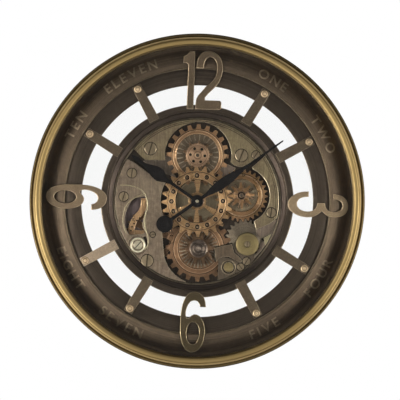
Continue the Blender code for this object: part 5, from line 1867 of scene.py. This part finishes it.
        # A wider dark star behind the arms: painted shadow around them.
        shade = self.bar(6.0, 21.3, 1.9, 1.5, 31.1, 31.35)
        shades = self.around("right_wheel_shade", 8, self.right, shade, SINK_DARK, 12.0)
        self.hang(shades, "right_wheel_star_back", SINK_DARK, "right_train", centre=self.right)
        jewel = [
            (0.0, 32.75), (5.6, 32.75), (5.6, 33.0), (3.8, 33.05), (3.6, 33.5), (2.5, 33.5), (2.3, 33.0),
            (0.0, 33.0),
        ]
        cup = turned("jewel", jewel, self.right, 40, worn=[(2.4, 3.7)])
        self.hang(cup, "right_wheel_jewel", CUP_DARK, "right_train", centre=self.right)
        self.refine("grey_wheel", WHEEL_STEEL, 0.25, "grey_train", self.grey)
        fold = self.bar(9.0, 25.0, 0.5, 1.2, 23.2, 24.3)
        folds = self.around("grey_wheel_folds", 32, self.grey, fold, WHEEL_STEEL)
        self.hang(folds, "grey_wheel_folds", WHEEL_STEEL, "grey_train", centre=self.grey)

    def dress_bottom(self) -> None:
        """Dress the bottom wheel with its rings, fins and dark cap, and the side wheel."""
        self.refine("bottom_wheel", BOTTOM_COPPER, self.tooth_bevel, "bottom_train", self.bottom)
        lines = [
            self.ring_line("outer_line", 39.4, 40.5, 27.2, 0.35, self.bottom),
            self.ring_line("inner_line", 33.6, 34.6, 27.2, 0.35, self.bottom),
        ]
        rings = joined("bottom_lines", lines)
        self.hang(rings, "bottom_wheel_rings", BOTTOM_COPPER, "bottom_train", centre=self.bottom)
        fin = self.bar(19.0, 31.6, 0.5, 1.1, 25.7, 27.3)
        fins = self.around("bottom_wheel_fins", 32, self.bottom, fin, FIN_GREY)
        self.hang(fins, "bottom_wheel_fins", FIN_GREY, "bottom_train", centre=self.bottom)
        cap = [
            (2.8, 31.7), (14.6, 31.7), (14.6, 34.0), (14.2, 34.8), (13.4, 35.2), (12.6, 35.1), (12.2, 34.5),
            (9.4, 34.5), (9.0, 35.1), (8.0, 35.2), (7.5, 34.5), (4.6, 34.5), (4.2, 35.2), (3.0, 35.3),
            (2.2, 34.9), (0.0, 34.9), (0.0, 34.3), (2.8, 34.3),
        ]
        mesh = turned("cap", cap, self.bottom, 64, worn=[(12.6, 14.6), (8.0, 9.0), (0.0, 4.2)])
        self.hang(mesh, "bottom_cap_turned", CAP_DARK, "bottom_train", ("bottom_cap",), self.bottom)
        self.refine("side_wheel", WHEEL_COPPER, 0.25, "side_train", self.side)

    def dress(self) -> None:
        """Dress every wheel."""
        self.dress_centre()
        self.dress_top()
        self.dress_right()
        self.dress_bottom()


@dataclass(frozen=True)
class ScrewSeat:
    """One slotted screw: its place, head radius and the slot's lean from upright."""

    at: Point
    radius: float
    slot_lean: float
    depth: float = 32.0


@dataclass
class PlateFittings(SubAssembly):
    """Slotted screws, the brass disc, the silver stud and the jewel on the plates."""

    screws: tuple[ScrewSeat, ...] = (
        ScrewSeat((-78.5, 82.1), 9.6, 15.0),
        ScrewSeat((68.6, 76.4), 9.8, 20.0),
        ScrewSeat((92.1, 78.2), 6.3, 32.0),
        ScrewSeat((-107.0, 41.6), 7.4, 8.0),
        ScrewSeat((-119.0, 3.1), 7.3, 14.0),
        ScrewSeat((-77.3, -99.0), 9.6, 4.0),
        ScrewSeat((120.0, -14.0), 7.6, 6.0),
        ScrewSeat((83.3, -93.9), 6.2, 30.0, 31.1),
        ScrewSeat((73.9, -103.6), 5.8, -40.0, 31.1),
        ScrewSeat((83.4, -66.5), 4.5, 0.0, 33.65),
        ScrewSeat((-69.8, -56.6), 4.0, 75.0),
    )
    slot_half_width: float = 0.12
    head_height: float = 0.9
    disc_centre: Point = (83.4, -66.5)
    stud_centre: Point = (-93.0, -74.24)
    boss_centre: Point = (54.5, -104.8)

    def screw_head(self) -> Mesh:
        """Cut a slotted head of radius one metre, to be scaled to each screw.

        Returns:
            The head's mesh.
        """
        parts = 20
        edge = math.degrees(math.asin(self.slot_half_width))
        left = [polar(1.0, edge + (180.0 - 2 * edge) * index / parts) for index in range(parts + 1)]
        halves = [self.dome([(x * sign, z * sign) for x, z in left]) for sign in (1.0, -1.0)]
        floor = turned("slot_floor", [(0.0, 0.0), (1000.0, 0.0), (1000.0, 0.25), (0.0, 0.25)], segments=40)
        # The slot's floor lies in painted shade.
        mark_wear(floor, all_dirty)
        return joined("screw_head", (*halves, floor))

    def dome(self, loop: Loop) -> Mesh:
        """Raise one half of a slotted head with a chamfered rim.

        Args:
            loop: the half's outline.

        Returns:
            The half's mesh.
        """
        work = bmesh.new()
        rings = []
        for scale, depth in ((1.0, 0.0), (1.0, self.head_height * 0.6), (0.93, self.head_height)):
            ring = []
            for index, (x, z) in enumerate(loop):
                ring.append(work.verts.new((x * scale, -depth * MM, z * scale)))
            rings.append(ring)
        for ring, following in zip(rings, rings[1:]):
            for index in range(len(ring)):
                after = (index + 1) % len(ring)
                work.faces.new((ring[index], ring[after], following[after], following[index]))
        work.faces.new(rings[-1])
        work.faces.new(list(reversed(rings[0])))
        bmesh.ops.recalc_face_normals(work, faces=work.faces)
        mesh = bpy.data.meshes.new("half_head")
        work.to_mesh(mesh)
        work.free()
        mark_wear(mesh, edge_wear)
        return mesh

    def on_points(
        self, shape: Mesh, name: str, finish: Finish, seats: Sequence[ScrewSeat], grow: float = 0.0,
        lift: float = 0.0,
    ) -> Mesh:
        """Set a shape on every seat through the scattering tree.

        Args:
            shape: the mesh to set.
            name: the result's name.
            finish: the finish of the copies.
            seats: where they go.
            grow: added to each seat's radius.
            lift: added to each seat's depth.

        Returns:
            The copies as one mesh.
        """
        points = bpy.data.meshes.new(name + "_seats")
        points.from_pydata([place(seat.at[0], seat.depth + lift, seat.at[1]) for seat in seats], [], [])
        sizes = points.attributes.new("head_radius", "FLOAT", "POINT")
        turns = points.attributes.new("slot_turn", "FLOAT", "POINT")
        for index, seat in enumerate(seats):
            sizes.data[index].value = (seat.radius + grow) * MM
            turns.data[index].value = math.radians(seat.slot_lean)
        helper = link(shape, name + "_shape")
        mesh = self.trees.run(
            self.trees.scatter, points, name, Shape=helper, Material=self.shop.material(finish),
        )
        bpy.data.objects.remove(helper, do_unlink=True)
        return mesh

    def seat_ring(self) -> Mesh:
        """Turn the flat dark disc of painted shadow around a screw, of outer radius one metre."""
        profile = [(0.0, 0.0), (1000.0, 0.0), (1000.0, 0.12), (0.0, 0.12)]
        return turned("seat_ring", profile, segments=40)

    def dress(self) -> None:
        """Build every fitting."""
        # Dark discs under the screw heads: painted shadow around each screw.
        seats = self.on_points(self.seat_ring(), "screw_sinks", SINK_DARK, self.screws, 1.3, -0.02)
        self.hang(seats, "plate_screw_sinks", SINK_DARK)
        heads = self.on_points(self.screw_head(), "screw_heads", SCREW_BRONZE, self.screws, 0.0, 0.05)
        self.hang(heads, "plate_screw_heads", SCREW_BRONZE)
        self.dress_disc()
        self.dress_stud()
        self.dress_boss()

    def dress_disc(self) -> None:
        """Turn the brass disc with its sunk centre screw."""
        profile = [
            (0.0, 31.4), (18.75, 31.4), (18.75, 33.6), (18.3, 34.3), (17.6, 34.6), (5.4, 34.6), (5.1, 34.1),
            (4.9, 33.6), (0.0, 33.6),
        ]
        disc = turned("disc", profile, self.disc_centre, 72, worn=[(4.8, 5.5)])
        self.hang(disc, "brass_disc_turned", DISC_BRASS, CASE, ("barrel_disc",), self.disc_centre)

    def dress_stud(self) -> None:
        """Turn the bright ring of the stud."""
        profile = filleted([(9.3, 31.0), (12.3, 31.0), (12.3, 33.4), (9.3, 33.4)], 0.9, 4)
        ring = turned("stud", profile, self.stud_centre, 56, worn=[(9.0, 12.0)])
        self.hang(ring, "stud_ring_silver", STUD_SILVER, centre=self.stud_centre)
        seat = (ScrewSeat(self.stud_centre, 7.4, 40.0, 30.8),)
        head = self.on_points(self.screw_head(), "stud_screw", STUD_SILVER, seat)
        self.hang(head, "stud_screw_head", STUD_SILVER, centre=self.stud_centre)

    def dress_boss(self) -> None:
        """Turn the ring of painted shade, the olive cup and the light ring of the cock's boss."""
        section = [(8.7, 31.6), (10.0, 31.6), (10.0, 31.9), (8.7, 31.9)]
        sink = turned("boss_sink", section, self.boss_centre, 48)
        self.hang(sink, "boss_dark_sink", SINK_DARK, centre=self.boss_centre)
        section = filleted([(0.0, 32.4), (7.6, 32.4), (7.6, 33.0), (0.0, 33.0)], 0.3, 2)
        cup = turned("boss_cup", section, self.boss_centre, 48)
        self.hang(cup, "boss_olive_cup", DISC_BRASS, centre=self.boss_centre)
        section = filleted([(10.6, 32.8), (11.9, 32.8), (11.9, 33.4), (10.6, 33.4)], 0.25, 2)
        ring = turned("boss_ring", section, self.boss_centre, 56)
        self.hang(ring, "boss_light_ring", SCREW_BRONZE, centre=self.boss_centre)


@dataclass
class BridgeRelief(SubAssembly):
    """The raised lines on the left bridge, and what lies in its crescent opening."""

    fittings: PlateFittings
    step_line: tuple[Point, ...] = (
        (-125.5, 21.4), (-110.6, 21.3), (-95.3, 17.4), (-87.0, 11.4), (-82.3, 3.5), (-79.9, -7.1),
        (-80.0, -15.2), (-82.6, -23.3), (-83.8, -35.8), (-81.4, -48.3), (-77.9, -57.1), (-76.5, -65.9),
        (-77.6, -74.0), (-82.2, -81.3),
    )
    rim_line: tuple[Point, ...] = (
        (-86.9, 8.4), (-96.6, 3.9), (-106.3, -1.7), (-113.5, -9.9), (-117.8, -21.0), (-119.0, -32.6),
        (-117.5, -45.1), (-112.6, -56.5),
    )
    band_line: tuple[Point, ...] = (
        (-86.1, 1.6), (-86.2, -10.9), (-90.6, -21.8), (-98.0, -30.6), (-102.5, -39.7), (-105.0, -49.1),
        (-103.3, -57.6),
    )
    band_dots: tuple[Point, ...] = (
        (-92.1, -30.8), (-96.4, -34.9), (-100.7, -40.0), (-103.7, -45.1), (-105.3, -51.3),
    )
    floor_outline: tuple[Point, ...] = (
        (-86.0, 7.0), (-96.5, 2.1), (-106.1, -4.8), (-113.0, -12.8), (-116.6, -24.5), (-117.2, -37.1),
        (-114.3, -49.4), (-109.5, -59.1), (-99.3, -60.0), (-83.2, -59.4), (-84.3, -30.5), (-80.8, -12.5),
        (-82.2, 1.8),
    )
    seat_line: tuple[Point, ...] = ((-83.2, -60.5), (-80.1, -67.0), (-80.9, -74.1), (-85.3, -81.3))

    def strip(self, name: str, line: Sequence[Point], half_width: float, back: float, front: float) -> Mesh:
        """Cut one strip that follows a line."""
        return cut_sheet(
            name, [ribbon(eased(line), half_width)], back, front, min(half_width, front - back) * 0.35,
        )

    def dress(self) -> None:
        """Build the lines, the band with its dots, the bar and the floor."""
        # The raised lines take a lighter bronze: painted highlight along the bridge's edges.
        lines = [
            self.strip("step", self.step_line, 0.75, 31.7, 32.9),
            self.strip("rim", self.rim_line, 0.6, 31.7, 32.7),
        ]
        self.hang(joined("bridge_lines", lines), "bridge_raised_lines", BRIGHT_OLIVE)
        floor = cut_sheet("floor", [self.floor_outline], 21.25, 21.5, 0.05, 1)
        self.hang(floor, "bridge_floor_sheet", MAUVE_FLOOR)
        band = self.strip("band", self.band_line, 5.0, 24.2, 25.6)
        bar = self.strip("bar", [(-101.0, -54.6), (-83.4, -54.7)], 4.2, 23.6, 24.1)
        self.hang(joined("bridge_band", [band, bar]), "bridge_curved_band", BAND_COPPER)
        seats = [ScrewSeat(spot, 1.3, 0.0, 25.6) for spot in self.band_dots]
        dots = self.fittings.on_points(self.fittings.seat_ring(), "band_dots", SINK_DARK, seats, 0.0, 0.0)
        self.hang(dots, "bridge_band_dots", SINK_DARK)
        self.hang(self.strip("seat", self.seat_line, 2.0, 31.9, 32.15), "stud_dark_seat", SINK_DARK)


@dataclass
class FloorSheets(SubAssembly):
    """The small fixed sheets among the plates: levers, corner, rail, link and the cock's raised plate."""

    disc_centre: Point
    lever_arm: tuple[Point, ...] = (
        (-90.0, 62.1), (-71.6, 62.2), (-58.1, 62.7), (-51.4, 64.5), (-45.4, 60.8), (-45.1, 53.1),
        (-41.6, 45.5), (-34.8, 36.0), (-40.6, 35.8), (-49.3, 45.2), (-54.1, 50.4), (-63.6, 53.9),
        (-75.2, 55.5), (-84.0, 57.5),
    )
    right_floor: tuple[Point, ...] = (
        (33.2, 46.3), (38.0, 56.1), (44.6, 61.8), (56.8, 57.2), (58.9, 53.4), (38.7, 37.7), (31.9, 38.5),
    )
    cock_plate: tuple[Point, ...] = (
        (30.8, -74.3), (58.8, -67.2), (60.5, -74.3), (63.2, -81.7), (70.2, -86.5), (76.2, -93.4),
        (73.3, -96.7), (63.3, -92.4), (54.2, -88.1), (45.2, -87.7), (38.6, -91.2), (34.5, -96.7),
        (32.4, -87.8),
    )
    corner_rail: tuple[Point, ...] = (
        (97.5, -41.9), (129.3, -24.8), (126.4, -36.0), (122.4, -47.0), (104.8, -56.6), (97.2, -50.6),
    )
    corner_piece: tuple[Point, ...] = ((109.3, -55.2), (121.2, -48.8), (118.0, -57.2), (112.7, -67.6))
    corner_floor: Point = (24.8, 25.8)
    lever_floor: Point = (21.9, 23.2)
    plate_inner: float = 131.8
    link_inner: float = 128.2

    def link_outline(self) -> Loop:
        """Give the outline of the link that joins the two upper plates over the top wheel."""
        outer = [polar(self.plate_inner, -4.0 + 0.8 * step) for step in range(11)]
        return outer + [polar(self.link_inner, 4.0 - 0.8 * step) for step in range(11)]

    def skirt_outline(self) -> Loop:
        """Give the outline of the skirt between the bezel and the brass disc."""
        outer = [polar(131.0, 116.0 + 3.0 * step) for step in range(9)]
        return outer + [polar(20.8, 165.0 - 10.0 * step, self.disc_centre) for step in range(9)]

    def dress(self) -> None:
        """Cut every sheet."""
        corner = cut_sheet("corner", [self.corner_piece], 28.3, 29.1, 0.25)
        self.hang(corner, "bright_corner_piece", BRIGHT_OLIVE)
        levers = []
        for line in (self.lever_arm, self.right_floor):
            outline = eased([*line, line[0]], 3)[:-1]
            levers.append(cut_sheet("lever", [outline], *self.lever_floor, 0.4))
        self.hang(joined("levers", levers), "inner_floor_levers", RAIL_BRONZE)
        raised = cut_sheet("plate", [self.cock_plate], 31.3, 32.1, 0.3)
        self.hang(raised, "cock_raised_plate", COCK_RAISED)
        # A slightly larger dark sheet under the raised plate: painted shadow around its edge.
        shade = [widened(point, self.cock_plate, 2.3) for point in self.cock_plate]
        self.hang(cut_sheet("shade", [shade], 31.0, 31.3, 0.08, 1), "cock_plate_seat", SINK_DARK)
        joint = cut_sheet("link", [self.link_outline()], 28.2, 31.9, 0.3)
        self.hang(joint, "top_plate_link", PLATE_BRONZE)
        sheets = [
            cut_sheet("rail", [self.corner_rail], *self.corner_floor, 0.3),
            cut_sheet("skirt", [self.skirt_outline()], *self.corner_floor, 0.3),
        ]
        self.hang(joined("rails", sheets), "corner_rail_plate", RAIL_BRONZE)


@dataclass
class Hands(SubAssembly):
    """The two black hands and the bright cap at their centre."""

    blades: tuple[tuple[str, str, float], ...] = (
        ("hour_hand", "hour_body", 40.0),
        ("minute_hand", "minute_body", 44.0),
    )
    sheet: float = 1.2
    bevel: float = 0.35

    def hand(self, node: str, back: float) -> Mesh:
        """Cut one hand with smooth flanks and softened edges.

        Args:
            node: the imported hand.
            back: depth of its back.

        Returns:
            The hand's mesh.
        """
        front = back + self.sheet
        loops = [smoothed(loop, 3, 30.0) for loop in front_loops(node, front)]
        return cut_sheet(node + "_blade", loops, back, front, self.bevel)

    def dress(self) -> None:
        """Build both hands and the cap."""
        for node, body, back in self.blades:
            self.hang(self.hand(node, back), node + "_blade", HAND_BLACK, body, (node,))
        profile = [
            (2.0, 45.5), (2.7, 45.5), (2.7, 47.4), (2.3, 48.4), (1.4, 49.0), (0.0, 49.2), (0.0, 47.3),
            (2.0, 47.3),
        ]
        cap = turned("cap", profile, segments=36)
        self.hang(cap, "hand_cap_turned", STUD_SILVER, "minute_body", ("hand_cap",))
        section = filleted([(2.0, 45.2), (6.4, 45.2), (6.0, 46.0), (2.0, 46.0)], 0.3, 2)
        collar = turned("collar", section, segments=48)
        self.hang(collar, "minute_hub_collar", HAND_BLACK, "minute_body")
        self.paint("minute_arbor", POST_STEEL)


@dataclass
class BackWorks(SubAssembly):
    """What shows from behind: the movement with its knob and wheels, the cells and the motor."""

    cell_radius: float = 7.0
    cell_length: float = 49.0

    def cell(self, name: str, centre: Point) -> Mesh:
        """Turn one cell lying along X, with its nub and the rolled ends of its wrap.

        Args:
            name: the mesh's name.
            centre: the cell's middle, across and up.

        Returns:
            The cell's mesh.
        """
        half = self.cell_length / 2
        radius = self.cell_radius
        profile = [
            (0.0, -half), (5.6, -half), (5.8, -half + 0.5), (6.4, -half + 0.3), (radius, -half + 0.9),
            (radius, half - 2.2), (6.4, half - 1.6), (2.7, half - 1.5), (2.6, half - 0.4), (2.2, half),
            (0.0, half),
        ]
        mesh = turned(name, profile, segments=40)
        mesh.transform(Matrix.Rotation(math.radians(90.0), 4, "Z"))
        mesh.transform(Matrix.Translation(place(centre[0], 10.2, centre[1])))
        return mesh

    def dress(self) -> None:
        """Dress the back."""
        self.refine("movement_back", CASE_PLASTIC, 0.3)
        self.refine("movement_case", CASE_PLASTIC, 0.25)
        self.refine("cell_holder", CASE_PLASTIC, 0.3)
        self.paint("gear_motor", CASE_PLASTIC)
        self.refine("set_knob", GEAR_PLASTIC, 0.3, "set_body")
        self.paint("minute_wheel", GEAR_PLASTIC)
        self.paint("hour_tube_wheel", GEAR_PLASTIC)
        for node, centre in (("time_cell", (0.0, 19.2)), ("gear_cell", (66.0, 62.0))):
            self.hang(self.cell(node + "_body", centre), node + "_body", CELL_WRAP, stands_for=(node,))


@dataclass(frozen=True)
class SoftBox:
    """One soft lamp: its name, place, power, colour and size."""

    name: str
    spot: Point3
    power: float
    colour: Colour = (1.0, 0.965, 0.92)
    size: Point = (0.8, 1.0)


@dataclass
class Studio:
    """The camera, the lamps, the pale floor and backdrop."""

    camera_distance: float = 4.5
    framed_depth: float = 0.055
    sensor: float = 36.0
    frame_width: float = 0.6428
    clock_offset: Point = (4.5, 2.1)
    clock_roll: float = 2.1
    floor_height: float = -3.4
    backdrop_distance: float = 1.2
    stage_reach: float = 6.0
    backdrop_top: float = 5.0
    world_level: float = 0.09
    lamps: tuple[SoftBox, ...] = (
        SoftBox("left_key", (-1.75, -1.7, -0.5), 36.0, (1.0, 0.965, 0.91)),
        SoftBox("left_edge", (-2.1, -0.5, -0.85), 46.0),
        SoftBox("right_key", (1.9, -1.7, -0.3), 27.0),
        SoftBox("right_edge", (2.4, -0.5, -0.25), 32.0),
    )

    def camera(self) -> None:
        """Set the camera straight in front, rolled so that the clock leans clockwise."""
        lens = bpy.data.cameras.new("camera")
        lens.sensor_width = self.sensor
        lens.lens = self.sensor * (self.camera_distance - self.framed_depth) / self.frame_width
        lens.clip_end = 50.0
        camera = bpy.data.objects.new("camera", lens)
        camera.location = (self.clock_offset[0] * MM, -self.camera_distance, self.clock_offset[1] * MM)
        roll = Matrix.Rotation(math.radians(-self.clock_roll), 4, "Y")
        camera.rotation_euler = (roll @ Matrix.Rotation(math.radians(90.0), 4, "X")).to_euler()
        bpy.context.scene.collection.objects.link(camera)
        bpy.context.scene.camera = camera

    def lamp(self, box: SoftBox) -> None:
        """Hang one soft box that faces the clock.

        Args:
            box: the lamp to hang.
        """
        light = bpy.data.lights.new(box.name, "AREA")
        light.shape = "RECTANGLE"
        light.size, light.size_y = box.size
        light.energy = box.power
        light.color = box.colour
        lamp = bpy.data.objects.new(box.name, light)
        lamp.location = box.spot
        lamp.rotation_euler = Vector(box.spot).to_track_quat("Z", "Y").to_euler()
        lamp.visible_camera = False
        bpy.context.scene.collection.objects.link(lamp)

    def pale_surface(self, name: str, one_sided: bool) -> Material:
        """Make the pale surface that shows white and still takes shadows from lamps.

        Args:
            name: the material's name.
            one_sided: whether it shows white, and nothing from behind.

        Returns:
            The material.
        """
        material, sketch, shader = started_material(name)
        sketch.give(shader, Base_Color=(0.82, 0.82, 0.81, 1.0), Roughness=0.7)
        if not one_sided:
            return material
        path = sketch.add("ShaderNodeLightPath")
        seen = sketch.math("MAXIMUM", path.outputs["Is Camera Ray"], path.outputs["Is Glossy Ray"])
        seen = sketch.math("MAXIMUM", seen, path.outputs["Is Transmission Ray"])
        white = sketch.add("ShaderNodeEmission", Color=(1.0, 1.0, 1.0, 1.0), Strength=1.0)
        mix = sketch.add("ShaderNodeMixShader")
        shown = sketch.in_order(mix, seen, shader.outputs[0], white.outputs[0])
        clear = sketch.add("ShaderNodeBsdfTransparent")
        side = sketch.add("ShaderNodeNewGeometry")
        mix = sketch.add("ShaderNodeMixShader")
        whole = sketch.in_order(mix, side.outputs["Backfacing"], shown, clear.outputs[0])
        sketch.give(sketch.tree.nodes["Material Output"], Surface=whole)
        return material

    def sheet(self, name: str, corners: Sequence[Point3], material: Material) -> None:
        """Lay one large flat sheet of the stage.

        Args:
            name: the sheet's name.
            corners: its corners in metres.
            material: its material.
        """
        mesh = bpy.data.meshes.new(name)
        mesh.from_pydata(list(corners), [], [tuple(range(len(corners)))])
        mesh.materials.append(material)
        link(mesh, name)

    def build(self) -> None:
        """Build the stage, the lamps and the camera."""
        reach, floor = self.stage_reach, self.floor_height
        wall, top = self.backdrop_distance, self.backdrop_top
        ground = [
            (-reach, -reach, floor), (reach, -reach, floor), (reach, wall, floor), (-reach, wall, floor),
        ]
        self.sheet("floor", ground, self.pale_surface("pale_floor", False))
        screen = [(-reach, wall, floor), (reach, wall, floor), (reach, wall, top), (-reach, wall, top)]
        self.sheet("backdrop", screen, self.pale_surface("pale_backdrop", True))
        for box in self.lamps:
            self.lamp(box)
        world = bpy.data.worlds.new("plain_room")
        world.use_nodes = True
        background = world.node_tree.nodes["Background"]
        background.inputs["Color"].default_value = (1.0, 0.99, 0.975, 1.0)
        background.inputs["Strength"].default_value = self.world_level
        bpy.context.scene.world = world
        bpy.context.scene.view_settings.view_transform = "Standard"
        self.camera()


def main() -> None:
    """Build every sub-assembly in order, then the studio."""
    logging.basicConfig(level=logging.INFO, format="%(message)s")
    shop = FinishShop(ShaderLibrary())
    trees = PatternTrees()
    OuterCase(shop, trees).dress()
    DialRings(shop, trees).dress()
    FiguresAndSpokes(shop, trees).dress()
    Drum(shop, trees).dress()
    WheelTrain(shop, trees).dress()
    fittings = PlateFittings(shop, trees)
    fittings.dress()
    BridgeRelief(shop, trees, fittings).dress()
    FloorSheets(shop, trees, fittings.disc_centre).dress()
    Hands(shop, trees).dress()
    BackWorks(shop, trees).dress()
    Studio().build()


if __name__ == "__main__":
    main()
